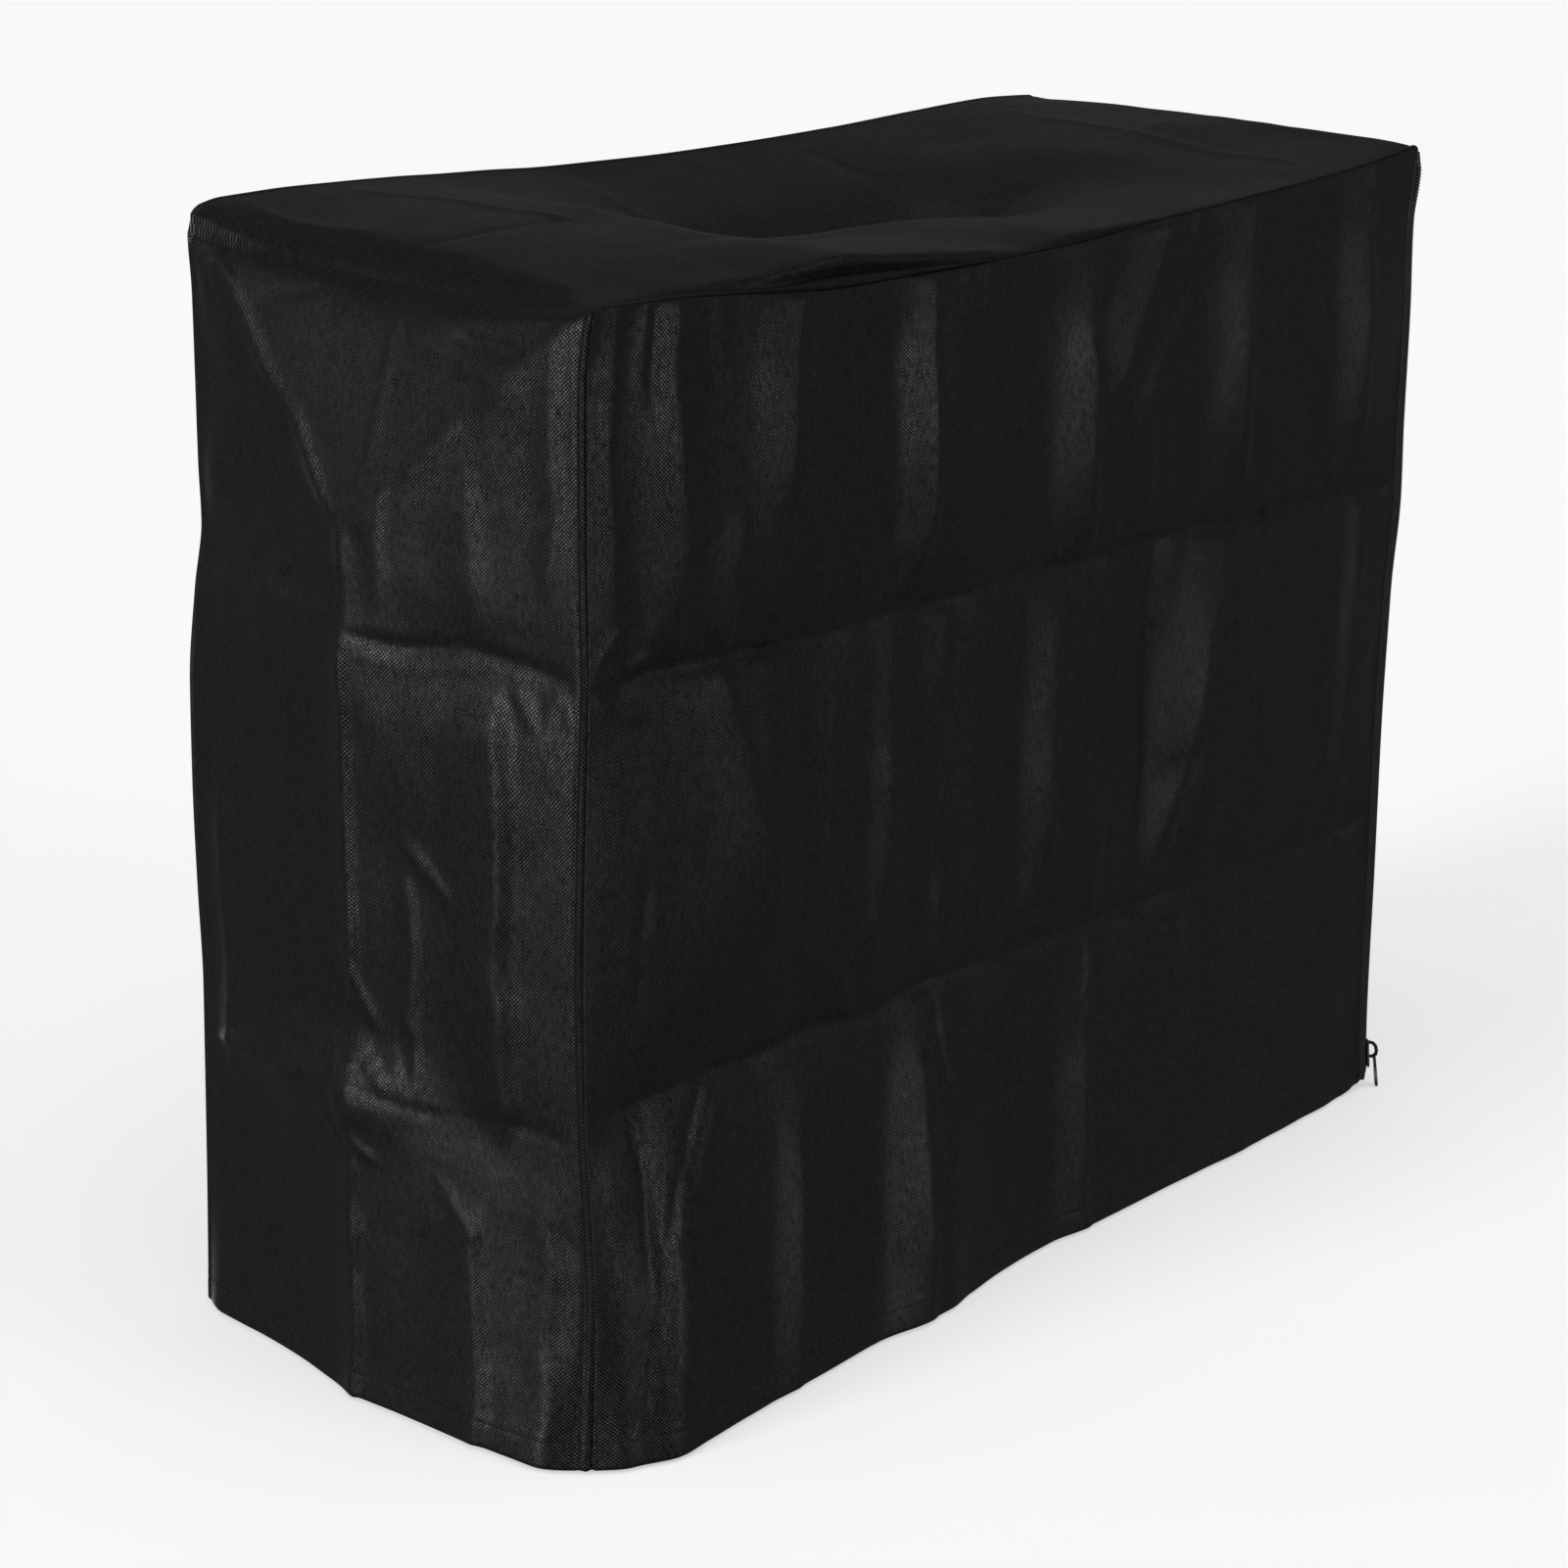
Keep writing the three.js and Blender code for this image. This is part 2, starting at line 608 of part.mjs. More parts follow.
// One closed solid from a grid of its outer face. A sewn edge is held back from the cloth that it
// meets and mitred with it: seam gives the way each of the two faces at a place on that edge.
function sheetSolid(grid, seam) {
  const rows = grid.length;
  const columns = grid[0].length;
  const at = (i, j) => grid[Math.min(rows - 1, Math.max(0, i))][Math.min(columns - 1, Math.max(0, j))];
  const facing = (i, j) => {
    const along = at(i + 1, j).clone().sub(at(i - 1, j));
    const across = at(i, j + 1).clone().sub(at(i, j - 1));
    return across.cross(along).normalize();
  };
  const points = [];
  for (const depth of [0, CLOTH]) {
    for (let i = 0; i < rows; i += 1) {
      for (let j = 0; j < columns; j += 1) {
        const sewn = seam(i, j, rows, columns);
        const point = at(i, j).clone().addScaledVector(sewn ? sewn.own : facing(i, j), -depth);
        if (sewn) point.addScaledVector(sewn.beside, -EDGE_BACK - depth);
        points.push(point);
      }
    }
  }
  const index = [];
  const id = (layer, i, j) => layer * rows * columns + i * columns + j;
  const quad = (a, b, c, d) => index.push(a, b, c, a, c, d);
  for (let i = 0; i < rows - 1; i += 1) {
    for (let j = 0; j < columns - 1; j += 1) {
      quad(id(0, i, j), id(0, i, j + 1), id(0, i + 1, j + 1), id(0, i + 1, j));
      quad(id(1, i, j), id(1, i + 1, j), id(1, i + 1, j + 1), id(1, i, j + 1));
    }
  }
  for (let j = 0; j < columns - 1; j += 1) {
    quad(id(0, 0, j), id(1, 0, j), id(1, 0, j + 1), id(0, 0, j + 1));
    quad(id(0, rows - 1, j), id(0, rows - 1, j + 1), id(1, rows - 1, j + 1), id(1, rows - 1, j));
  }
  for (let i = 0; i < rows - 1; i += 1) {
    quad(id(0, i, 0), id(0, i + 1, 0), id(1, i + 1, 0), id(1, i, 0));
    quad(id(0, i, columns - 1), id(1, i, columns - 1), id(1, i + 1, columns - 1), id(0, i + 1, columns - 1));
  }
  return solidOf(points, index);
}

function frontSeam(i, j, rows, columns) {
  if (i === rows - 1) return { own: FRONT, beside: seamFacing(HEIGHT + HALF_LENGTH + STATIONS[j]) };
  if (j === columns - 1) return { own: FRONT, beside: NOTHING };
  return j === 0 ? { own: FRONT, beside: LEFT } : null;
}

function backSeam(i, j, rows, columns) {
  const x = STATIONS[columns - 1 - j];
  if (i === rows - 1) return { own: BACK, beside: seamFacing(HEIGHT + HALF_LENGTH + x) };
  if (j === 0) return { own: BACK, beside: RIGHT };
  return j === columns - 1 ? { own: BACK, beside: LEFT } : null;
}

function stripSeam(i, j, rows, columns) {
  if (j > 0 && j < columns - 1) return null;
  return { own: seamFacing(stripStops()[i]), beside: j === 0 ? BACK : FRONT };
}

function solidOf(points, index) {
  const geometry = new THREE.BufferGeometry();
  geometry.setAttribute("position", new THREE.Float32BufferAttribute(points.flatMap((p) => p.toArray()), 3));
  geometry.setIndex(index);
  geometry.computeVertexNormals();
  return geometry;
}

// A closed solid that carries a section up the zip: section gives its corner points at a level,
// turning the same way as seen from above
function carried(levels, section) {
  const rings = levels.map(section);
  const count = rings[0].length;
  const points = rings.flat();
  const index = [];
  for (let i = 0; i < levels.length - 1; i += 1) {
    for (let k = 0; k < count; k += 1) {
      const a = i * count + k;
      const b = i * count + ((k + 1) % count);
      index.push(a, b, b + count, a, b + count, a + count);
    }
  }
  for (let k = 1; k < count - 1; k += 1) {
    index.push(0, k + 1, k);
    const last = (levels.length - 1) * count;
    index.push(last, last + k, last + k + 1);
  }
  return solidOf(points, index);
}

// The teeth's own directions at a level: across from the front tape to the side tape, and out
function zipFrame(z) {
  const turn = THREE.MathUtils.degToRad(reading(ZIP_EDGE, "z", z, "turn"));
  const out = new THREE.Vector3(Math.sin(turn), -Math.cos(turn), 0);
  const across = new THREE.Vector3(Math.cos(turn), Math.sin(turn), 0);
  const centre = zipCorner(z).addScaledVector(out, -TEETH_BACK);
  return { centre, across, out };
}

function zipPoint(z, across, out) {
  const frame = zipFrame(z);
  return frame.centre.addScaledVector(frame.across, across).addScaledVector(frame.out, out);
}

function zipLevels() {
  return [ZIP_FOOT, ...LEVELS.filter((z) => z > ZIP_FOOT + 5 && z < ZIP_HEAD - 3), ZIP_HEAD];
}

function teethSection(z) {
  const w = TEETH_WIDTH / 2;
  const t = TEETH_THICK / 2;
  const corners = [
    [-w, -0.4 * t],
    [-w, 0.4 * t],
    [-0.75 * w, t],
    [0.75 * w, t],
    [w, 0.4 * t],
    [w, -0.4 * t],
    [0.6 * w, -0.8 * t],
    [-0.6 * w, -0.8 * t],
  ];
  return corners.map(([across, out]) => zipPoint(z, across, out));
}

function frontTapeSection(z) {
  const edge = panelRight(z);
  const inner = -TEETH_WIDTH / 2 - SEAM_GAP;
  return [
    zipPoint(z, inner, TAPE_THICK / 2),
    zipPoint(z, inner, -TAPE_THICK / 2),
    new THREE.Vector3(edge.x + SEAM_GAP, edge.y + 0.2 + TAPE_THICK, z),
    new THREE.Vector3(edge.x + SEAM_GAP, edge.y + 0.2, z),
  ];
}

function sideTapeSection(z) {
  const edge = stripPoint(HEIGHT + LENGTH + HEIGHT - z, 0);
  const inner = TEETH_WIDTH / 2 + SEAM_GAP;
  const end = edge.y - SEAM_GAP + EDGE_BACK;
  return [
    zipPoint(z, inner + 0.6, -TAPE_THICK / 2),
    zipPoint(z, inner, -TAPE_THICK / 2),
    zipPoint(z, inner, TAPE_THICK / 2),
    zipPoint(z, inner + 1, TAPE_THICK / 2),
    new THREE.Vector3(edge.x - 0.2, end, z),
    new THREE.Vector3(edge.x - 0.2 - TAPE_THICK, end, z),
  ];
}

// Small hard pieces are made upright at the origin, X across the teeth, -Y out of them, and then
// set on the zip.
function block(width, thick, length, x, y, z) {
  const box = wasm.Manifold.cube([width, thick, length], true);
  return box.translate([x, y, z]);
}

function placedOnZip(shape, z) {
  const frame = zipFrame(z);
  const mesh = shape.getMesh();
  const geometry = new THREE.BufferGeometry();
  geometry.setAttribute("position", new THREE.Float32BufferAttribute(mesh.vertProperties, 3));
  geometry.setIndex([...mesh.triVerts]);
  const up = zipFrame(z + SLIDER_LENGTH).centre.sub(frame.centre).normalize();
  const turn = new THREE.Matrix4().makeBasis(frame.across, frame.out.clone().negate(), up);
  geometry.applyMatrix4(turn.setPosition(frame.centre.x, frame.centre.y, z));
  return geometry;
}

function sliderShape() {
  const plateMiddle = TEETH_THICK / 2 + MOVE_GAP + SLIDER_PLATE / 2;
  const face = plateMiddle + SLIDER_PLATE / 2;
  const half = SLIDER_LENGTH / 2;
  const front = block(SLIDER_WIDTH, SLIDER_PLATE, SLIDER_LENGTH, 0, -plateMiddle, half);
  const back = block(SLIDER_BACK_WIDTH, SLIDER_PLATE, SLIDER_LENGTH, 0, plateMiddle, half);
  const postMiddle = SLIDER_POST.above_foot + SLIDER_POST.length / 2;
  const post = block(SLIDER_POST.width, 2 * plateMiddle, SLIDER_POST.length, 0, 0, postMiddle);
  const tall = BRIDGE.head - BRIDGE.foot;
  const middle = (BRIDGE.head + BRIDGE.foot) / 2;
  const arch = block(BRIDGE.width, BRIDGE.reach + 0.4, tall, 0, -face - BRIDGE.reach / 2 + 0.2, middle);
  const hole = block(
    BRIDGE.width + 2,
    BRIDGE.reach - BRIDGE.bar,
    tall - 2 * BRIDGE.bar,
    0,
    -face - (BRIDGE.reach - BRIDGE.bar) / 2,
    middle,
  );
  return front.add(back).add(post).add(arch).subtract(hole);
}

function pullShape() {
  const face = TEETH_THICK / 2 + MOVE_GAP + SLIDER_PLATE;
  const tab = block(PULL.width, PULL.thick, PULL.length, 0, 0, -PULL.length / 2);
  const eye = block(PULL.eye_width, PULL.thick + 2, PULL.eye_length, 0, 0, -PULL.rim - PULL.eye_length / 2);
  const hung = tab.subtract(eye).rotate([-PULL.tilt, 0, 0]);
  const bridgeRoom = BRIDGE.reach - BRIDGE.bar;
  const top = BRIDGE.foot + BRIDGE.bar + MOVE_GAP + PULL.rim;
  return hung.translate([0, -face - bridgeRoom / 2, top]);
}

function teethGeometry() {
  const bar = carried(zipLevels(), teethSection);
  const mesh = new wasm.Mesh({
    numProp: 3,
    vertProperties: new Float32Array(bar.getAttribute("position").array),
    triVerts: new Uint32Array(bar.getIndex().array),
  });
  const postMiddle = SLIDER_POST.above_foot + SLIDER_POST.length / 2;
  const slotSize = [SLIDER_POST.width + 2 * MOVE_GAP, TEETH_THICK + 4, SLIDER_POST.length + 2 * MOVE_GAP];
  const slot = placedOnZip(block(...slotSize, 0, 0, postMiddle), SLIDER_FOOT);
  const cutter = new wasm.Mesh({
    numProp: 3,
    vertProperties: new Float32Array(slot.getAttribute("position").array),
    triVerts: new Uint32Array(slot.getIndex().array),
  });
  const cut = new wasm.Manifold(mesh).subtract(new wasm.Manifold(cutter)).getMesh();
  const geometry = new THREE.BufferGeometry();
  geometry.setAttribute("position", new THREE.Float32BufferAttribute(cut.vertProperties, 3));
  geometry.setIndex([...cut.triVerts]);
  return geometry;
}

const cover = new THREE.Group();
cover.name = "computer_dust_cover";

function addNode(name, geometry, look) {
  const mesh = new THREE.Mesh(geometry, new THREE.MeshStandardMaterial(look));
  mesh.name = name;
  cover.add(mesh);
}

addNode("gusset_strip", sheetSolid(stripGrid(), stripSeam), FABRIC);
addNode("front_panel", sheetSolid(frontGrid(), frontSeam), FABRIC);
addNode("back_panel", sheetSolid(backGrid(), backSeam), FABRIC);
addNode("zip_tape_front", carried(zipLevels(), frontTapeSection), TAPE);
addNode("zip_tape_side", carried(zipLevels(), sideTapeSection), TAPE);
addNode("zip_teeth", teethGeometry(), NYLON);
addNode("zip_slider", placedOnZip(sliderShape(), SLIDER_FOOT), BLACK_METAL);
addNode("zip_pull", placedOnZip(pullShape(), SLIDER_FOOT), STEEL);

cover.position.set(0, 0, -MOUNT_HEIGHT);
export default cover;
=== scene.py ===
# A dust cover for a computer tower: two face panels and one strip of black plain-woven cloth,
# sewn into a box that is open underneath, with a zip up its front right edge.
# Shapes are worked out in mm from the hem, as the CAD model's are, and placed in metres.
import math

import bpy
import numpy as np
from mathutils import Matrix, Vector, noise


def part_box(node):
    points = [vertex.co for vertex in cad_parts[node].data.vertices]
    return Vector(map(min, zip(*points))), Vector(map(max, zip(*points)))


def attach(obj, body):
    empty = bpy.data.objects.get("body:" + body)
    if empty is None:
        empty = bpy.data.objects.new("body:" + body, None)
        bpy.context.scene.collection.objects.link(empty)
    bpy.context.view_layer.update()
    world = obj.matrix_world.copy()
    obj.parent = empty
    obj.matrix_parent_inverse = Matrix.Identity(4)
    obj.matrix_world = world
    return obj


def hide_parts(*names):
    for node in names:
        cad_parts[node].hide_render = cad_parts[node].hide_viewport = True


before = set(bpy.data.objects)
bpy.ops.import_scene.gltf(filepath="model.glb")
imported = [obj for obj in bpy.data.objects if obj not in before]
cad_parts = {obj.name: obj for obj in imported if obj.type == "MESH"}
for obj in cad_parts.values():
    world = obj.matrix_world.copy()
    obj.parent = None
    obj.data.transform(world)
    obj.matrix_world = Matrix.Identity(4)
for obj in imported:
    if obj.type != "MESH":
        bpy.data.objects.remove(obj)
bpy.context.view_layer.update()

# The box along its seams, how thick the cloth is, and how high the mount is above the hem, in mm
LENGTH = 510
DEPTH = 210
HEIGHT = 432
CLOTH = 0.9
MOUNT_HEIGHT = 392.4
# How tightly the strip bends at its top corners: beside the seams, and between them
SEAM_ROLL = 5
LEFT_ROLL = 28
RIGHT_ROLL = 6
# How far the front panel and the strip stop short of the corner that the zip runs up
ZIP_CUT_FRONT = 5.5
ZIP_CUT_SIDE = 9
# The levels of the two crosswise creases
UPPER_FOLD = 291
LOWER_FOLD = 136
HALF_LENGTH = LENGTH / 2
HALF_DEPTH = DEPTH / 2
MM = 0.001

# Places along the strip, from its hem on the left
TOP_MIDDLE = HEIGHT + HALF_LENGTH
RIGHT_CORNER = HEIGHT + LENGTH
STRIP_END = 2 * HEIGHT + LENGTH

# The flat cuts: each has a turned hem at its bottom and a seam allowance at its sewn edges
HEM_TURN = 20
SEAM_ALLOWANCE = 8
STRIP_CUT = (DEPTH + 2 * SEAM_ALLOWANCE, LENGTH + 2 * (HEIGHT + HEM_TURN))
PANEL_CUT = (LENGTH + 2 * SEAM_ALLOWANCE, HEIGHT + HEM_TURN + SEAM_ALLOWANCE)


def table(columns, rows):
    """A short table as a dictionary of its named columns"""
    return dict(zip(columns.split(), np.array(rows, float).T))


# Upright edges: stray is how far the edge leans towards the right of the photo, spread is how far
# it stands out diagonally, and turn is how far the zip faces round from the front, in degrees
NEAR_EDGE = table("z stray spread", [
    (0, 0.3, 3.2), (60, 1.3, 1.2), (97, -0.2, 0.3), (135, -2.4, 0), (192, -3.4, 0), (248, -2.6, 0),
    (301, -1.6, 0), (349, -2.4, 0), (402, -2.6, 0), (432, 0, 0),
])
FAR_EDGE = table("z stray spread", [
    (0, -2.3, 0), (53, -1.6, 0), (95, -1.2, 0), (137, -0.8, 0), (177, -2, 0), (217, -2.6, 0),
    (256, -2.4, 0), (294, 0.6, 0), (322, 4, 0), (345, 3.4, 0), (407, 3, 0), (432, 1.6, 0),
])
ZIP_EDGE = table("z stray turn", [
    (0, 4.3, 40), (22, 2.6, 40), (51, 1.8, 38), (99, 1.2, 38), (192, -0.2, 36), (237, 0, 36),
    (276, 1.6, 34), (312, 0.7, 34), (360, 0.2, 32), (400, -1, 26), (414, 0, 14), (432, 0.8, 8),
])
# How far the two ends stand out at five places across, level by level
LEFT_END = table("z near_rim near_quarter middle far_quarter far_rim", [
    (0, 12, 16.5, 20, 9.5, 6.5),
    (55, 6, 13, 19, 9, 4),
    (105, 3.5, 11, 20, 10, 3),
    (128, 2, 8.5, 23, 12, 3.5),
    (155, 3, 9.5, 16, 9.5, 3),
    (215, 4, 10.5, 16.5, 8.5, 2.5),
    (265, 4, 11, 18.5, 9.5, 2.5),
    (291, 2, 8, 20, 11.5, 3.5),
    (318, 3, 10, 19, 9.5, 3),
    (432, 3.5, 10, 18.5, 9.5, 3.5),
])
RIGHT_END = table("z near_rim near_quarter middle far_quarter far_rim", [
    (0, 2, 6, 9, 6, 2),
    (136, 1, 4, 9, 7, 2),
    (215, 2, 6, 9, 5, 1),
    (291, 1, 4, 9, 7, 2),
    (432, 1.5, 5, 9, 5, 1.5),
])
# The rim beside each seam, and the slope that takes each end back in to the top: how far below
# the top and how far out it starts, and how softly it does
RIM = 15
LEFT_APEX_BELOW_TOP = 90
LEFT_APEX_OUT = 18.5
RIGHT_APEX_BELOW_TOP = 45
RIGHT_APEX_OUT = 9
APEX_SOFTNESS = 0.8

# Where the top hangs slack, which pulls out the packing fold along its middle
SLACK_MIDDLE = 5
SLACK_HALF = 115
SLACK_FADE = 60
# The top's height above or below the box at five places across, section by section
TOP = table("x front front_half middle back_half back", [
    (-255, -1, 0, 0, 1, 6.5),
    (-238, -2, 3, 4, 4.5, 9),
    (-215, -3, 5, 6.5, 6, 9),
    (-185, -5.5, 6, 7.5, 7.5, 8),
    (-150, -9.2, 5, 7.5, 6, 6.5),
    (-125, -11, 1, -3, 1, 5),
    (-98, -11.5, -3, -18, -5, 3.7),
    (-72, -12, -4, -30, -10, 2),
    (-43, -12.2, -5, -37, -14, 1),
    (10, -11.8, -8, -38.5, -16, -0.5),
    (60, -9.6, -12, -36, -14, -0.8),
    (110, -8, -10, -19, -9, -0.5),
    (160, -6.3, -7, -3, -4, 0.8),
    (213, -3.5, -3, 0.5, 0.5, 1.8),
    (240, -1, 0, 1, 1, 0.6),
    (255, 0.6, 3, 2, 1.2, -0.6),
])
# The lip of cloth behind the front seam: how far it rises and hangs over, along and across it
LIP = table("x rise over", [
    (-255, 0, 0), (-205, 1.5, 1), (-175, 3.5, 2.5), (-150, 7, 4), (-124, 10, 5.5), (-98, 8, 5.5),
    (-70, 5.5, 5), (-42, 3, 4), (-14, 0.6, 1.5), (15, 2.8, 3.5), (45, 2, 3), (80, 0.4, 1),
    (255, 0, 0),
])
LIP_PROFILE = table("behind rise over", [
    (0, 0, 0), (3, 0.45, 0.75), (8, 1, 1), (17, 0.85, 0.4), (45, 0, 0),
])

# The front panel: its hem's line and the folds of its three bands
FRONT_HEM = table("x out", [
    (-255, 0), (-243, 8.5), (-218, 13.3), (-196, 12.7), (-164, 10.3), (-135, 8.5), (-105, 8),
    (-58, 8.2), (-41, 5), (-1, 1), (20, 0), (65, 1.5), (121, 2), (171, 1.8), (208, -0.2),
    (238, -1.2), (255, 0),
])
FRONT_TOP_BAND = table("x out", [
    (-255, 0), (-243, 1.2), (-232, 0.8), (-209, 3.6), (-195, 1.2), (-175, 1.8), (-145, 4.2),
    (-94, 0.2), (-71, 4.6), (0, -1.4), (28, 3.6), (62, 2.2), (102, -0.8), (133, 2.4), (195, -1.2),
    (220, 2.8), (255, 0),
])
FRONT_MIDDLE_BAND = table("x out", [
    (-255, 0), (-211, 3.4), (-164, 5.6), (-136, 1), (-104, 0.4), (-91, 1.6), (-71, -2),
    (-33, -0.2), (-8, -2), (12, 1.4), (45, 0), (80, -3.4), (116, 4.4), (165, 2.2), (213, -1.2),
    (226, 0.9), (255, 0),
])
FRONT_LOWER_BAND = table("x out", [
    (-255, 0), (-229, 0), (-210, 4), (-189, 1), (-157, -0.4), (-140, 2), (-90, -1.4), (-63, 4.2),
    (-16, 0), (19, -1.4), (41, 1.8), (104, -0.8), (165, 0), (211, 1.8), (255, 0),
])
# How far the two crosswise creases lie above their levels, along the front and across the left end
FRONT_CREASES = table("x upper lower", [
    (-255, 6.7, -0.2), (-150, 8.2, 2.9), (0, 8.1, 4.3), (90, 5.4, 1.7), (200, -1.2, -2.2),
    (255, -6.4, -5.2),
])
LEFT_CREASES = table("across upper lower", [
    (0, 6.7, -0.2), (50, 7, -5), (105, 6, -4), (160, 6, -9), (210, 6, -14),
])
# How far from a crosswise crease the cloth moves up with it
CREASE_REACH = 66
# How far the front's hem rises at its right end
HEM_LIFT = table("x lift", [(-255, 0), (238, 0), (247, 1.3), (255, 2.2)])
# How far the bands swell out, how deep the creases between them are, and how round they are
BAND_SWELL = 2.6
CREASE_DEPTH = 1.2
BAND_ROUNDNESS = 0.7
# The lower band's share of the swell, how much its folds lean with the hem's own bulge, and how
# far from the panel's sides the swell is whole
LOWER_SWELL = 0.6
LOWER_LEAN = 1.2
EDGE_EASE = 30

# The back panel, which hangs plainly
BACK_HEM_OUT = 6
BACK_FOLD = table("x out", [
    (-255, 0), (-215, -1.8), (-144, 1.2), (-72, -1.8), (0, 1.2), (72, -1.8), (144, 1.2),
    (213, -1.8), (255, 0),
])

# Sewing: how deep a seam draws the cloth in, the roll beside it, and the hem
SEAM_DIP = 0.9
SEAM_REACH = 1.2
LIP_ROLL = 0.7
LIP_ROLL_AT = 1.7
LIP_ROLL_WIDTH = 0.8
LIP_GAP = 0.45
LIP_GAP_AT = 3.4
LIP_GAP_WIDTH = 1.8
LIP_VALLEY = 0.35
LIP_VALLEY_AT = 3.6
HEM_DEPTH = 12
HEM_STEP = 0.15
HEM_EASE = 1.2
HEM_EDGE_IN = 0.4
STITCH_LEVEL = 10.2
STITCH_PITCH = 3
STITCH_LENGTH = 2.3
STITCH_RADIUS = 0.2
STITCH_PULL = 0.15
ZIP_STITCH_IN = 2.4

# The weave: how far apart the threads are, how much the crosswise ones glint beside the others,
# which is painted shade on their gleam, and how dark their colour is beside the others', which is
# painted shade too, as both are the same black yarn
THREAD_PITCH = 0.74
CROSSWISE_PAINTED_GLINT = 0.06
CROSSWISE_PAINTED_SHADE = 0.2

# The zip: how far its coil lies back from the corner and is drawn in at its ends, and its sizes
TEETH_BACK = 1
ZIP_HEAD_IN = 2.2
ZIP_FOOT_IN = 0.9
TAPE_THICK = 0.5
ZIP_FOOT = 2.4
ZIP_HEAD = 429
COIL_PITCH = 1.4
SLIDER_FOOT = 8.5
SLIDER_LENGTH = 12.5
ZIP_EASE = 12
COIL_START = 0.4

# A tape's section: (across, out) places beside the coil, then (x, y) places from its cloth's edge
TAPE_OUTSIDE = ((0.15, -0.7), (1.6, -0.6), (3.2, -0.3))
FRONT_TAPE_INSIDE = ((0.6, 0.6), (-1.5, 1.5), (-5, 1.9), (-8.5, 2.1))
SIDE_TAPE_INSIDE = ((-0.6, -0.6), (-1.5, 1.5), (-1.9, 5), (-2.1, 8))

# Half a turn of the coil: how far across, out and up each place is, and the wire's radius there
COIL_TURN = [
    (2.6, -0.5, -0.15, 0.2),
    (2.35, 0.1, -0.12, 0.32),
    (1.2, 0.32, 0, 0.34),
    (-0.3, 0.3, 0.1, 0.38),
    (-0.75, -0.1, 0.12, 0.3),
]

# The slider and its pull: outlines of (across, up) places, and the bridge's (out, up) places
SLIDER_OUTLINE = [
    (-3.5, 0.6), (-2.7, 0), (2.7, 0), (3.5, 0.6), (3.55, 3.2), (3.0, 7.5),
    (2.6, 11.4), (2.0, 12.4), (-2.0, 12.4), (-2.6, 11.4), (-3.0, 7.5), (-3.55, 3.2),
]
POST_OUTLINE = [(-0.6, 0.8), (0.6, 0.8), (0.6, 3.2), (-0.6, 3.2)]
BRIDGE_PATH = [
    (-1.2, 4.4), (-3.4, 4.5), (-4.9, 5.4), (-5.3, 7.2), (-5.0, 9.4), (-3.8, 11.0), (-1.2, 11.6),
]
PULL_OUTLINE = [
    (-1.1, -4.6), (1.1, -4.6), (2.2, -6.4), (2.6, -13.8),
    (2.0, -15.6), (-2.0, -15.6), (-2.6, -13.8), (-2.2, -6.4),
]
BACK_PLATE_SHARE = 0.72
FRONT_PLATE_OUT = 1.15
FRONT_PLATE_THICK = 1.1
BACK_PLATE_IN = 1.9
BACK_PLATE_THICK = 1.0
POST_DEPTH = 4.2
PLATE_BEVEL = 0.3
PULL_THICK = 1.3
BRIDGE_RADIUS = 0.85
EYE_HALF_WIDTH = 1.75
EYE_HALF_HEIGHT = 2.3
EYE_BELOW = 2.9
EYE_RADIUS = 0.6
EYE_STEPS = 16
PULL_HANGS_AT = (0, -4.2, 5.9)
PULL_TILT = -3

# The camera, found from the box's corners: where it is, its turn and its field of view
CAMERA_AT = (-1179, -994.5, 685)
CAMERA_AZIMUTH = -49.063
CAMERA_ELEVATION = 18.1173
CAMERA_ROLL = 1.0484
CAMERA_LENS = 89.24
CAMERA_SENSOR = 36
# A step to the right of the photo is this much of x and of -y.
RIGHTWARD_X = 0.66
RIGHTWARD_Y = 0.75

# Lights far off, so that they fall evenly: how far round from the front and how far up each is,
# its strength and its width. A row of them makes a tall light, in which the cloth's upright folds
# show and its level ones hardly do. Those from below stand for what the pale floor throws back.
TALL_LIGHTS = {
    "front_light": (16, (-6, 8, 20), 0.27, 22),
    "left_light": (-98, (-6, 10, 26), 0.65, 20),
    "back_left_light": (-136, (6, 30), 0.075, 24),
    "near_light": (-38, (-16, -4), 0.2, 24),
    "back_light": (158, (-16, -4), 0.3, 24),
}
TOP_LIGHT = (-10, 78, 0.68, 56)
SKY_STRENGTH = 0.108

# The pale floor: half its width in metres, its tone and its glow
FLOOR_HALF = 15
FLOOR_TONE = 0.86
FLOOR_GLOW = 0.52

# Edges that turn by more than this many degrees are left crisp
SHARP_CLOTH = 50
SHARP_METAL = 35

# The ways that the sides face
LEFT = np.array([-1.0, 0, 0])
RIGHT = np.array([1.0, 0, 0])
FRONT = np.array([0, -1.0, 0])
BACK = np.array([0, 1.0, 0])

# How far a small fold takes to rise at its ends, how far it takes to end at a crosswise crease,
# and how far it wanders from a straight line
FOLD_FADE = 24
CREASE_FADE = 5
WANDER = 5

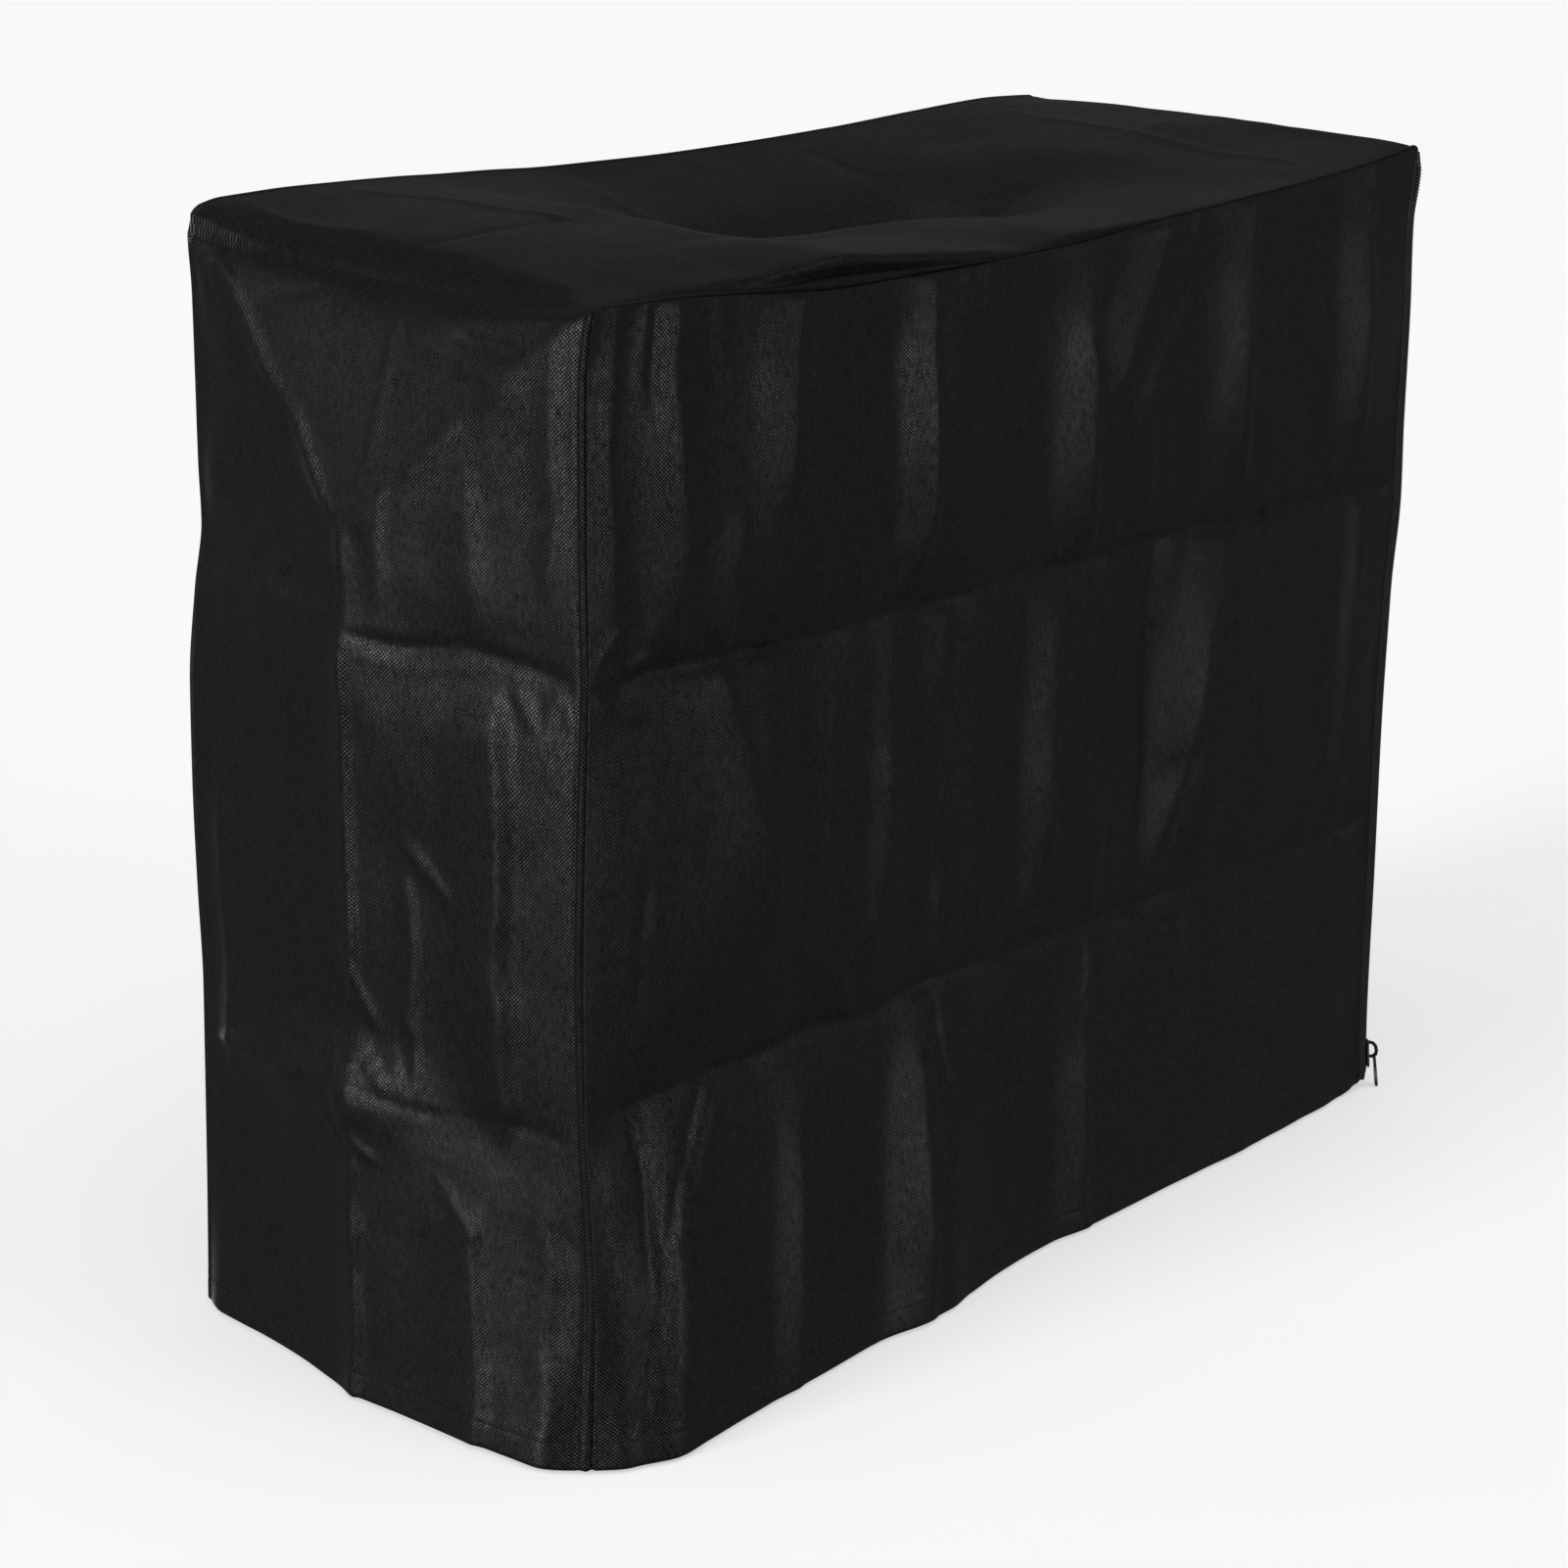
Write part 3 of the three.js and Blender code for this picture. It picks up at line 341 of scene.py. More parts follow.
# Small folds: a row has the two ends of a crest, its height and its width on its left and right,
# as seen by someone who looks along it. Upright ones have a slow side and a sharp one.
# Front panel: x and z at the lower end, x and z at the upper end
TOP_BAND_FOLDS = [
    (-242, 290, -242, 450, 0.7, 9, 3),
    (-228, 385, -227, 450, 0.7, 6, 3),
    (-221, 380, -224, 450, -0.9, 3, 3),
    (-209, 284, -211, 450, 1.1, 14, 3),
    (-231, 282, -217, 318, 0.8, 8, 4),
    (-186, 396, -186, 450, 0.5, 6, 3),
    (-185, 284, -178, 360, 1.1, 16, 4),
    (-155, 346, -147, 450, 1.2, 22, 5),
    (-133, 298, -131, 352, 0.4, 10, 4),
    (-103, 286, -98, 334, 0.9, 17, 4),
    (-75, 296, -73, 450, 1.1, 16, 3),
    (-87, 296, -79, 320, 0.5, 4, 4),
    (-57, 404, -55, 450, 0.5, 4, 3),
    (-45, 398, -40, 450, 0.6, 5, 3),
    (-22, 300, -18, 412, 0.5, 16, 6),
    (31, 286, 25, 404, 1.4, 20, 4),
    (35, 360, 83, 450, 2.6, 20, 6),
    (41, 350, 99, 410, -1.3, 7, 9),
    (68, 296, 67, 366, 0.8, 22, 6),
    (51, 290, 45, 312, 0.6, 5, 4),
    (97, 288, 105, 322, 0.5, 8, 4),
    (90, 396, 92, 450, 0.6, 5, 3),
    (131, 298, 135, 450, 1.1, 20, 5),
    (163, 316, 155, 410, 0.3, 12, 8),
    (219, 302, 221, 450, 1.0, 20, 5),
]
MIDDLE_BAND_FOLDS = [
    (-227, 160, -228, 240, -0.7, 4, 4),
    (-98, 130, -149, 192, 2.0, 38, 6),
    (-151, 180, -189, 300, 1.3, 22, 4),
    (-124, 146, -124, 290, 0.5, 9, 4),
    (-94, 150, -91, 256, 0.9, 11, 3),
    (-58, 252, -55, 306, 1.0, 15, 4),
    (-57, 128, -55, 198, 0.9, 8, 3),
    (-33, 142, -32, 206, 0.5, 10, 4),
    (-1, 150, 1, 176, 0.4, 6, 4),
    (11, 160, 13, 288, 0.9, 19, 3),
    (45, 128, 48, 212, 0.9, 11, 3),
    (76, 150, 78, 306, -1.1, 3, 12),
    (85, 146, 104, 196, 1.0, 10, 4),
    (101, 180, 128, 306, 0.9, 28, 5),
    (155, 262, 161, 306, 0.7, 20, 6),
    (227, 240, 229, 306, 0.7, 13, 3),
    (221, 202, 246, 217, 0.5, 5, 5),
]
LOWER_BAND_FOLDS = [
    (-240, 2, -231, 66, -0.8, 4, 4),
    (-231, 50, -232, 140, -0.9, 4, 4),
    (-225, 20, -223, 88, -0.5, 5, 4),
    (-225, 78, -210, 110, -0.9, 4, 4),
    (-212, 100, -190, 140, -1.0, 4, 4),
    (-204, 92, -181, 130, 0.7, 5, 6),
    (-153, -30, -144, 108, 0.7, 16, 4),
    (-101, 4, -137, 68, 0.7, 8, 4),
    (-70, -30, -69, 122, 1.1, 25, 4),
    (-51, 82, -60, 136, -0.9, 4, 4),
    (-14, 98, -12, 150, 0.8, 27, 6),
    (41, -30, 41, 98, 1.1, 21, 4),
    (43, 92, 43, 136, 0.7, 4, 4),
    (74, 98, 74, 150, 0.8, 21, 4),
    (119, 76, 119, 134, 0.8, 12, 4),
    (153, -30, 155, 60, 0.4, 18, 6),
    (246, 119, 214, 138, -0.6, 4, 4),
    (240, -30, 247, 26, 0.7, 8, 3),
]
# The two crosswise creases, a stretch at a time, and the pucker beside the near seam
CREASE_FOLDS = [
    (-262, 291, -150, 290, -1.1, 7, 6),
    (-175, 290, -40, 292, -0.9, 6, 5),
    (-85, 292, 100, 291, -1, 6, 5),
    (50, 291, 190, 290, -0.8, 6, 5),
    (140, 290, 262, 292, -0.9, 6, 5),
    (-262, 135, -175, 137, -0.7, 6, 5),
    (-205, 137, -45, 136, -1.2, 6, 6),
    (-85, 136, 100, 135, -0.9, 6, 5),
    (50, 135, 262, 137, -0.9, 6, 5),
    (-260, 290, -220, 300, 0.9, 5, 4),
    (-260, 290, -224, 274, 0.8, 4, 5),
    (-258, 290, -234, 322, 0.7, 4, 4),
    (-256, 408, -234, 396, 0.6, 4, 4),
]
# Left end: y and z at both ends
LEFT_FOLDS = [
    # The two ridges that fold the top in, and the packing crease between them
    (-2, 338, -23, 360, 0.9, 4, 5),
    (-17, 354, -61, 393, 1.1, 4, 5),
    (-53, 385, -108, 436, 1.1, 5, 6),
    (0, 338, 46, 384, 1.7, 3, 6),
    (36, 372, 92, 434, 1.7, 3, 6),
    (-6, 350, -13, 434, 0.5, 4, 4),
    (-34, 417, -80, 412, -1.8, 7, 6),
    (-44, 404, -74, 406, 0.9, 5, 5),
    (-36, 425, -106, 427, 0.8, 5, 6),
    (60, 410, 30, 424, -0.7, 6, 6),
    # The ridge down the middle and the strips beside it
    (0, 310, 1, 348, 0.8, 5, 4),
    (-16, 296, -17, 362, 0.9, 3, 9),
    (-60, 302, -58, 380, 0.8, 6, 17),
    (-90, 316, -90, 424, 0.9, 8, 10),
    (1, 156, 0, 302, 1.8, 3, 13),
    (-29, 122, -28, 228, 0.9, 3, 7),
    (-48, 205, -25, 233, 0.9, 4, 5),
    (-70, 116, -67, 290, 2.3, 8, 27),
    # Crosswise creases
    (6, 296, -60, 296, -1.1, 5, 5),
    (-45, 296, -110, 292, -1.0, 5, 5),
    (-4, 289, -74, 288, 0.4, 4, 4),
    (-70, 288, -88, 272, 0.8, 4, 5),
    (-87, 274, -93, 293, 0.7, 3, 3),
    (-93, 293, -99, 276, 0.6, 3, 3),
    (2, 303, 102, 300, 0.9, 5, 5),
    (10, 131, -50, 129, -0.6, 3, 4),
    (-40, 130, -110, 128, -0.5, 3, 4),
    (2, 130, 102, 130, 0.8, 5, 5),
    # The knot of small creases where the folds cross
    (6, 180, -12, 148, 1.1, 4, 4),
    (-14, 152, 6, 128, -0.7, 3, 3),
    (2, 146, -20, 130, 0.7, 3, 3),
    (6, 122, -20, 150, -0.6, 3, 3),
    (-14, 150, -30, 122, 0.5, 3, 3),
    (10, 120, -12, 98, 1.0, 3, 4),
    (14, 150, 2, 110, 0.6, 3, 3),
    (20, 118, 4, 104, 0.8, 3, 4),
    (-20, 168, -30, 150, 0.7, 3, 3),
    # Below it
    (0, -30, 0, 112, 1.5, 3, 13),
    (-62, 76, -34, 106, 0.7, 5, 6),
    (-106, 78, -84, 98, -0.5, 5, 5),
    (-58, -30, -57, 104, 1.6, 6, 27),
    (-90, -30, -88, 114, 0.9, 5, 12),
    (83, 112, 84, 232, 1.6, 11, 11),
    (20, 126, 96, 130, 1.8, 8, 11),
    (36, 168, 44, 150, 0.6, 4, 5),
    (60, 296, 34, 322, 1.0, 6, 10),
]
# Top: x and y at both ends
TOP_FOLDS = [
    (-252, -4, -150, -12, -0.6, 4, 4),
    (-240, -100, -234, 110, 0.7, 6, 6),
    (-166, -24, -184, 98, 0.9, 5, 5),
    (-66, 20, -64, 100, 0.6, 7, 7),
    (75, 20, 76, 100, -0.7, 6, 6),
    (165, 6, 250, 4, 0.6, 5, 5),
    (198, -95, 200, 95, 0.7, 6, 6),
]


def curve(keys, values, at):
    """A smooth curve through values at keys, with no overshoot between them"""
    keys = np.asarray(keys, float)
    values = np.asarray(values, float)
    gaps = np.diff(keys).reshape(-1, *[1] * (values.ndim - 1))
    rates = np.diff(values, axis=0) / gaps
    both = rates[:-1] * rates[1:]
    total = np.where(both > 0, rates[:-1] + rates[1:], 1)
    inner = np.where(both > 0, 2 * both / total, 0)
    slopes = np.concatenate([rates[:1], inner, rates[-1:]])
    at = np.clip(at, keys[0], keys[-1])
    i = np.clip(np.searchsorted(keys, at) - 1, 0, len(keys) - 2)

    def pick(rows, k):
        return rows[k] if rows.ndim == 1 else np.take_along_axis(rows, k[None], 0)[0]

    span = keys[i + 1] - keys[i]
    f = (at - keys[i]) / span
    return (
        pick(values, i) * (1 + 2 * f) * (1 - f) ** 2
        + pick(values, i + 1) * f * f * (3 - 2 * f)
        + pick(slopes, i) * span * f * (1 - f) ** 2
        + pick(slopes, i + 1) * span * f * f * (f - 1)
    )


def readings(rows, at):
    """All of a table's other columns at a place in its first one"""
    keys, *columns = rows.values()
    return [curve(keys, values, at) for values in columns]


def reading(rows, at, column):
    return curve(next(iter(rows.values())), rows[column], at)


def smooth(f):
    g = np.clip(f, 0, 1)
    return g * g * (3 - 2 * g)


def soft_lower(a, b, softness):
    fade = np.maximum(0, 1 - np.abs(a - b) / (2 * softness))
    return np.minimum(a, b) - 0.5 * softness * fade * fade


def end_out(rows, y, z, apex_below, apex_out):
    """How far an end stands out at a distance y across it and a level z"""
    seam = np.zeros_like(z)
    near_rim, near_quarter, middle, far_quarter, far_rim = readings(rows, z)
    half, rim = HALF_DEPTH, HALF_DEPTH - RIM
    near = curve([-half, -rim, -half / 2, 0], [seam, near_rim, near_quarter, middle], y)
    far = curve([0, half / 2, rim, half], [middle, far_quarter, far_rim, seam], y)
    slope = apex_out * (HEIGHT - z) / apex_below
    return np.maximum(0, soft_lower(np.where(y < 0, near, far), slope, APEX_SOFTNESS))


def top_rise(x, y):
    """The height of the top cloth above the box at x, y"""
    heights = readings(TOP, x)
    places = np.linspace(-HALF_DEPTH, HALF_DEPTH, 5)
    fore = curve(places[:3], heights[:3], y)
    rear = curve(places[2:], heights[2:], y)
    folded = np.where(y < 0, fore, rear)
    even = curve(places, heights, y)
    slack = smooth((SLACK_HALF - np.abs(x - SLACK_MIDDLE)) / SLACK_FADE)
    return folded + (even - folded) * slack


def strip_line(along, roll):
    """The strip's own line, bent over a roll of the given radius at both top corners"""
    from_middle = along - TOP_MIDDLE
    past_corner = np.abs(from_middle) - HALF_LENGTH
    swing = math.pi / 4 * (1 - np.clip(past_corner / roll, -1, 1))
    reach = HALF_LENGTH - roll * (1 - np.cos(swing)) + np.minimum(0, past_corner + roll)
    level = HEIGHT - roll * (1 - np.sin(swing)) - np.maximum(0, past_corner - roll)
    return np.sign(from_middle) * reach, level


def seam_facing(along):
    """The way the strip faces at a seam, from its line alone"""
    x0, z0 = strip_line(along - 0.1, SEAM_ROLL)
    x1, z1 = strip_line(along + 0.1, SEAM_ROLL)
    facing = np.stack([z0 - z1, np.zeros_like(z0), x1 - x0], -1)
    return facing / np.linalg.norm(facing, axis=-1, keepdims=True)


def strayed(x, y, z, rows, share):
    """Moves a point with the upright edge it is near"""
    stray, spread = (values * share for values in readings(rows, z))
    diagonal = spread / math.sqrt(2)
    return x + RIGHTWARD_X * stray - diagonal, y - RIGHTWARD_Y * stray - diagonal


def crease_shift(rows, at, z):
    """How far a place at level z moves up with the crosswise crease nearest to it"""
    upper, lower = readings(rows, at)
    near_upper = smooth(1 - np.abs(z - UPPER_FOLD) / CREASE_REACH)
    near_lower = smooth(1 - np.abs(z - LOWER_FOLD) / CREASE_REACH)
    return near_upper * upper + near_lower * lower


def strip_point(along, across):
    """A point of the strip's outer face: along it from the left hem, across from the front seam"""
    along, across = np.broadcast_arrays(np.asarray(along, float), np.asarray(across, float))
    share = across / DEPTH
    full_roll = np.where(along < TOP_MIDDLE, LEFT_ROLL, RIGHT_ROLL)
    bow = np.sin(math.pi * np.clip(share, 0, 1)) ** 0.8
    x, z = strip_line(along, SEAM_ROLL + (full_roll - SEAM_ROLL) * bow)
    y = across - HALF_DEPTH
    on_left = along < HEIGHT
    on_right = along > RIGHT_CORNER
    on_top = ~on_left & ~on_right

    left_x = x - end_out(LEFT_END, y, np.minimum(z, HEIGHT), LEFT_APEX_BELOW_TOP, LEFT_APEX_OUT)
    left_z = z + crease_shift(LEFT_CREASES, across, z)
    left_x, left_y = strayed(left_x, y, left_z, NEAR_EDGE, (1 - share) ** 3)
    left_x, left_y = strayed(left_x, left_y, left_z, FAR_EDGE, share**3)

    top_z = z + top_rise(along - TOP_MIDDLE, y)
    rise, over = readings(LIP, x)
    rise_share, over_share = readings(LIP_PROFILE, across)
    top_z = top_z + rise * rise_share
    near_left = share**3 * np.maximum(0, 1 - (along - HEIGHT) / 60)
    top_x, top_y = strayed(x, y - over * over_share, top_z, FAR_EDGE, near_left)

    right_x = x + end_out(RIGHT_END, y, z, RIGHT_APEX_BELOW_TOP, RIGHT_APEX_OUT)
    zipped = (1 - share) ** 2 * smooth((HEIGHT - z) / ZIP_EASE)
    right_y = y + ZIP_CUT_SIDE * zipped
    right_x = right_x + RIGHTWARD_X * reading(ZIP_EDGE, z, "stray") * zipped

    left, top = (left_x, left_y, left_z), (top_x, top_y, top_z)
    right = (right_x, right_y, z)
    sides = zip(left, top, right)
    return np.stack([np.select([on_left, on_top], [a, b], c) for a, b, c in sides], -1)


def band_shares(x, z):
    """How much of each band's folds shows at x, z: all of it in the band's middle and none at the
    creases; and how much of its swell shows near the panel's ends"""
    top, middle = (
        np.maximum(0, np.sin(math.pi * np.clip((z - low) / (high - low), 0, 1))) ** BAND_ROUNDNESS
        for low, high in ((UPPER_FOLD, HEIGHT), (LOWER_FOLD, UPPER_FOLD))
    )
    lower = np.sin(math.pi / 2 * np.clip(1 - z / LOWER_FOLD, 0, 1)) ** BAND_ROUNDNESS
    return top, middle, lower, np.minimum(1, (HALF_LENGTH - np.abs(x)) / EDGE_EASE)


def front_out(x, z):
    """How far the front panel stands out from the box"""
    top, middle, lower, inside = band_shares(x, z)
    hem = np.maximum(0, 1 - z / LOWER_FOLD) ** 1.15 * reading(FRONT_HEM, x, "out")
    level = np.maximum(0, 1 - top - middle - lower)
    near_hem = np.minimum(1, 0.4 + z / 60)
    return (
        BAND_SWELL * (top + middle + LOWER_SWELL * lower) * inside
        - CREASE_DEPTH * inside * level * smooth((HEIGHT - z) / 60)
        + top * reading(FRONT_TOP_BAND, x, "out")
        + middle * reading(FRONT_MIDDLE_BAND, x, "out")
        + lower * reading(FRONT_LOWER_BAND, x + LOWER_LEAN * hem, "out") * near_hem
        + hem
    )


def back_out(x, z):
    """How far the back panel stands out from the box"""
    top, middle, lower, inside = band_shares(x, z)
    return (
        (BAND_SWELL + 1) * (top + middle + LOWER_SWELL * lower) * inside
        + reading(BACK_FOLD, x, "out") * (top - middle + lower)
        + BACK_HEM_OUT * np.maximum(0, 1 - z / LOWER_FOLD) * inside
    )


def zip_corner(z):
    """The corner that the zip runs up, at level z"""
    z = np.asarray(z, float)
    stray = reading(ZIP_EDGE, z, "stray")
    x = HALF_LENGTH + 0.5 + RIGHTWARD_X * stray
    return np.stack([x, -HALF_DEPTH - RIGHTWARD_Y * stray, z], -1)


def panel_right(z):
    """The front panel's right edge, on the zip tape"""
    corner = zip_corner(z)
    cut = smooth((HEIGHT - np.asarray(z, float)) / ZIP_EASE)
    end = strip_point(RIGHT_CORNER, 0)
    corner[..., 0] = corner[..., 0] * cut + end[0] * (1 - cut) - ZIP_CUT_FRONT * cut
    corner[..., 1] = corner[..., 1] * cut + end[1] * (1 - cut)
    return corner


def panel_grid(xs, zs, across, right, lift=0):
    """A panel's places inside four edges: the strip's seams at its left and top, its right edge,
    and its hem, which is straight but for its lift"""
    left = strip_point(zs, across)
    top = strip_point(TOP_MIDDLE + xs, across)
    left[-1] = top[0]
    right[-1] = top[-1]
    u = ((xs + HALF_LENGTH) / LENGTH)[:, None]
    v = (zs / HEIGHT)[:, None, None]
    bottom = left[0] * (1 - u) + right[0] * u
    bottom[:, 2] = lift
    sideways = left[:, None] * (1 - u) + right[:, None] * u
    upwards = bottom * (1 - v) + top * v
    low_corners = bottom[0] * (1 - u) * (1 - v) + bottom[-1] * u * (1 - v)
    return sideways + upwards - low_corners - top[0] * (1 - u) * v - top[-1] * u * v


def spaced(rows):
    """Grid lines from rows of where a stretch starts and how far apart its lines are"""
    lines = [rows[0][0]]
    for (start, apart), (end, _) in zip(rows, rows[1:]):
        count = 2 * math.ceil((end - start) / apart / 2)
        lines.extend(np.linspace(start, end, count + 1)[1:])
    return np.array(lines)


def folds(p, q, rows):
    """The height that small folds add: each has a crest from one place to another, a width on its
    left and on its right as seen along it, and tapers off at its ends"""
    total = np.zeros(np.broadcast(p, q).shape)
    for p0, q0, p1, q1, height, left, right in rows:
        run = math.hypot(p1 - p0, q1 - q0)
        dp, dq = (p1 - p0) / run, (q1 - q0) / run
        along = (p - p0) * dp + (q - q0) * dq
        aside = dp * (q - q0) - dq * (p - p0)
        fade = min(FOLD_FADE, run / 3)
        ends = smooth(along / fade) * smooth((run - along) / fade)
        off = np.sqrt(aside**2 + 0.6**2) - 0.6
        width = np.where(aside > 0, left, right) * (0.3 + 0.7 * ends)
        total += height * ends * np.maximum(0, 1 - off / width) ** 1.3
    return total


def waves(p, q, size, height, seed):
    """Slow unevenness of slack cloth"""
    flat = zip((p / size).ravel(), (q / size).ravel())
    values = [noise.noise(Vector((a, b, seed))) for a, b in flat]
    return height * np.array(values).reshape(p.shape)


def wandered(p, q):
    """Places a little aside, so that no fold runs quite straight"""
    return p + waves(p, q, 36, WANDER, 41.7), q + waves(p, q, 36, WANDER, 58.2)


def banded_folds(x, z):
    """The front panel's folds, which end at the crosswise creases"""
    bands = (
        (TOP_BAND_FOLDS, UPPER_FOLD, 2 * HEIGHT),
        (MIDDLE_BAND_FOLDS, LOWER_FOLD, UPPER_FOLD),
        (LOWER_BAND_FOLDS, -HEIGHT, LOWER_FOLD),
    )
    return sum(
        folds(x, z, rows) * smooth((z - low) / CREASE_FADE) * smooth((high - z) / CREASE_FADE)
        for rows, low, high in bands
    )


class Sheet:
    """A grid of points of a cloth's outer face, with the lines that it was made from"""

    def __init__(self, ps, qs, points):
        self.ps, self.qs, self.points = ps, qs, points
        self.update()

    def update(self):
        along = np.gradient(self.points, axis=0)
        across = np.gradient(self.points, axis=1)
        facing = np.cross(across, along)
        self.normals = facing / np.linalg.norm(facing, axis=-1, keepdims=True)

    def raise_by(self, height):
        self.points = self.points + self.normals * height[..., None]
        self.update()

    def at(self, p, q, above=0):
        """The place on the cloth at p, q, and above it"""
        i = int(np.clip(np.searchsorted(self.qs, q) - 1, 0, len(self.qs) - 2))
        j = int(np.clip(np.searchsorted(self.ps, p) - 1, 0, len(self.ps) - 2))
        f = (q - self.qs[i]) / (self.qs[i + 1] - self.qs[i])
        g = (p - self.ps[j]) / (self.ps[j + 1] - self.ps[j])
        weights = ((1 - f) * (1 - g), (1 - f) * g, f * (1 - g), f * g)
        corners = ((i, j), (i, j + 1), (i + 1, j), (i + 1, j + 1))
        return sum(w * (self.points[c] + self.normals[c] * above) for w, c in zip(weights, corners))


def strip_folds():
    """The folds of the left end and of the top, as places along and across the strip"""
    left = [
        (z0, y0 + HALF_DEPTH, z1, y1 + HALF_DEPTH, height, right, left)
        for y0, z0, y1, z1, height, left, right in LEFT_FOLDS
    ]
    top = [
        (TOP_MIDDLE + x0, y0 + HALF_DEPTH, TOP_MIDDLE + x1, y1 + HALF_DEPTH, *sizes)
        for x0, y0, x1, y1, *sizes in TOP_FOLDS
    ]
    return left + top


def seam_pull(distance, diagonal):
    """How a sewn edge is drawn in towards its seam"""
    share = 1 - smooth(distance / SEAM_REACH)
    return -SEAM_DIP * share[..., None] * diagonal


def ridge(distance, middle, width):
    """The profile of a rounded ridge"""
    return np.exp(-(((distance - middle) / width) ** 2))


def seam_roll(distance):
    """The small roll that the allowance inside makes beside a seam, and the valley behind it"""
    roll = LIP_ROLL * ridge(distance, LIP_ROLL_AT, LIP_ROLL_WIDTH)
    return roll - LIP_VALLEY * ridge(distance, LIP_VALLEY_AT, LIP_ROLL_WIDTH)


def hem_height(z):
    """The turned hem stands a little proud, and its stitching draws it in"""
    step = HEM_STEP * (1 - smooth((z - HEM_DEPTH + 1) / 3))
    pulled = STITCH_PULL * ridge(z, STITCH_LEVEL, HEM_EASE)
    edge = HEM_EDGE_IN * (1 - smooth(z / HEM_EASE))
    return step - pulled - edge


def front_sheet():
    """The front panel's cloth, with its folds, its seams and its hem"""
    xs = spaced([(-HALF_LENGTH, 0.7), (-247, 1.9), (246, 0.8), (HALF_LENGTH, None)])
    zs = spaced([(0, 0.9), (14, 1.9), (424, 0.8), (HEIGHT, None)])
    right_shift = crease_shift(FRONT_CREASES, HALF_LENGTH, zs)
    corner_lift = HEM_LIFT["lift"][-1] * np.maximum(0, 1 - zs / 40)
    right = panel_right(zs + right_shift + corner_lift)
    points = panel_grid(xs, zs, 0, right, reading(HEM_LIFT, xs, "lift"))
    x, z = np.meshgrid(xs, zs)
    points[..., 1] -= front_out(x, z)
    left_shift = crease_shift(FRONT_CREASES, -HALF_LENGTH, zs)
    u = (x + HALF_LENGTH) / LENGTH
    at_edges = (1 - u) * left_shift[:, None] + u * right_shift[:, None]
    points[..., 2] += crease_shift(FRONT_CREASES, x, z) - at_edges
    sheet = Sheet(xs, zs, points)
    loose = smooth((HALF_LENGTH - np.abs(x)) / 10) * smooth((HEIGHT - z) / 5)
    p, q = wandered(x, z)
    sheet.raise_by(
        (banded_folds(p, q) + folds(p, q, CREASE_FOLDS)) * loose
        + (waves(x, 0.6 * z, 40, 1.0, 3.1) + waves(x, 0.6 * z, 15, 0.32, 7.7)) * loose
        + hem_height(z)
    )
    sheet.points += seam_pull(x + HALF_LENGTH, FRONT + LEFT)
    facing = seam_facing(TOP_MIDDLE + xs)
    sheet.points += seam_pull(HEIGHT - z, (FRONT + facing)[None])
    sheet.points -= 0.6 * (1 - smooth((HALF_LENGTH - x) / 1.4))[..., None] * FRONT
    sheet.update()
    return sheet


def back_sheet():
    """The back panel's cloth. Its columns run from the right, so that it faces out."""
    xs = spaced([(-HALF_LENGTH, 1.2), (-246, 3), (246, 1.2), (HALF_LENGTH, None)])
    zs = spaced([(0, 1.2), (14, 3), (423, 1.2), (HEIGHT, None)])
    points = panel_grid(xs, zs, DEPTH, strip_point(STRIP_END - zs, DEPTH))
    x, z = np.meshgrid(xs, zs)
    points[..., 1] += back_out(x, z)
    sheet = Sheet(xs, zs, points[:, ::-1])
    x = x[:, ::-1]
    loose = smooth((HALF_LENGTH - np.abs(x)) / 14) * smooth((HEIGHT - z) / 12)
    sheet.raise_by(
        (waves(x, z, 52, 1.2, 12.4) + waves(x, z, 19, 0.3, 5.2)) * loose
        + hem_height(z)
        + 0.5 * seam_roll(HALF_LENGTH - np.abs(x))
        + 0.3 * seam_roll(HEIGHT - z)
    )
    sheet.points += seam_pull(x + HALF_LENGTH, BACK + LEFT)
    sheet.points += seam_pull(HALF_LENGTH - x, BACK + RIGHT)
    facing = seam_facing(TOP_MIDDLE + xs[::-1])
    sheet.points += seam_pull(HEIGHT - z, (BACK + facing)[None])
    sheet.update()
    return sheet


def strip_sheet():
    """The strip's cloth, from its hem on the left to its hem on the right"""
    stops = [(0, 0.9), (14, 2.1), (424, 1.3), (440, 2.1), (RIGHT_CORNER - 8, 1.2)]
    stops += [(RIGHT_CORNER + 10, 2.4), (STRIP_END - 14, 0.9), (STRIP_END, None)]
    alongs = spaced(stops)
    acrosses = spaced([(0, 0.7), (8, 2), (202, 0.8), (DEPTH, None)])
    across, along = np.meshgrid(acrosses[::-1], alongs)
    points = strip_point(along, across)
    sheet = Sheet(-acrosses[::-1], alongs, points)
    from_hem = np.minimum(along, STRIP_END - along)
    near_seam = smooth(across / 14) * smooth((DEPTH - across) / 14)
    p, q = wandered(along, across)
    roll_side = np.where(along > RIGHT_CORNER, smooth((along - STRIP_END + 12) / 12), 1)
    rise = reading(LIP, along - TOP_MIDDLE, "rise")
    gap = LIP_GAP * ridge(across, LIP_GAP_AT, LIP_GAP_WIDTH) * rise
    sheet.raise_by(
        folds(p, q, strip_folds()) * near_seam
        + (waves(across, along, 40, 1.0, 21.3) + waves(across, along, 15, 0.26, 33.9)) * near_seam
        + hem_height(from_hem)
        + seam_roll(across) * roll_side
        - gap
        + 0.6 * seam_roll(DEPTH - across)
    )
    facing = seam_facing(alongs)[:, None]
    zipped = np.where(along > RIGHT_CORNER, 1 - smooth((along - RIGHT_CORNER) / 12), 1)
    sheet.points += seam_pull(across, FRONT + facing) * zipped[..., None]
    sheet.points += seam_pull(DEPTH - across, BACK + facing)
    sheet.update()
    return sheet


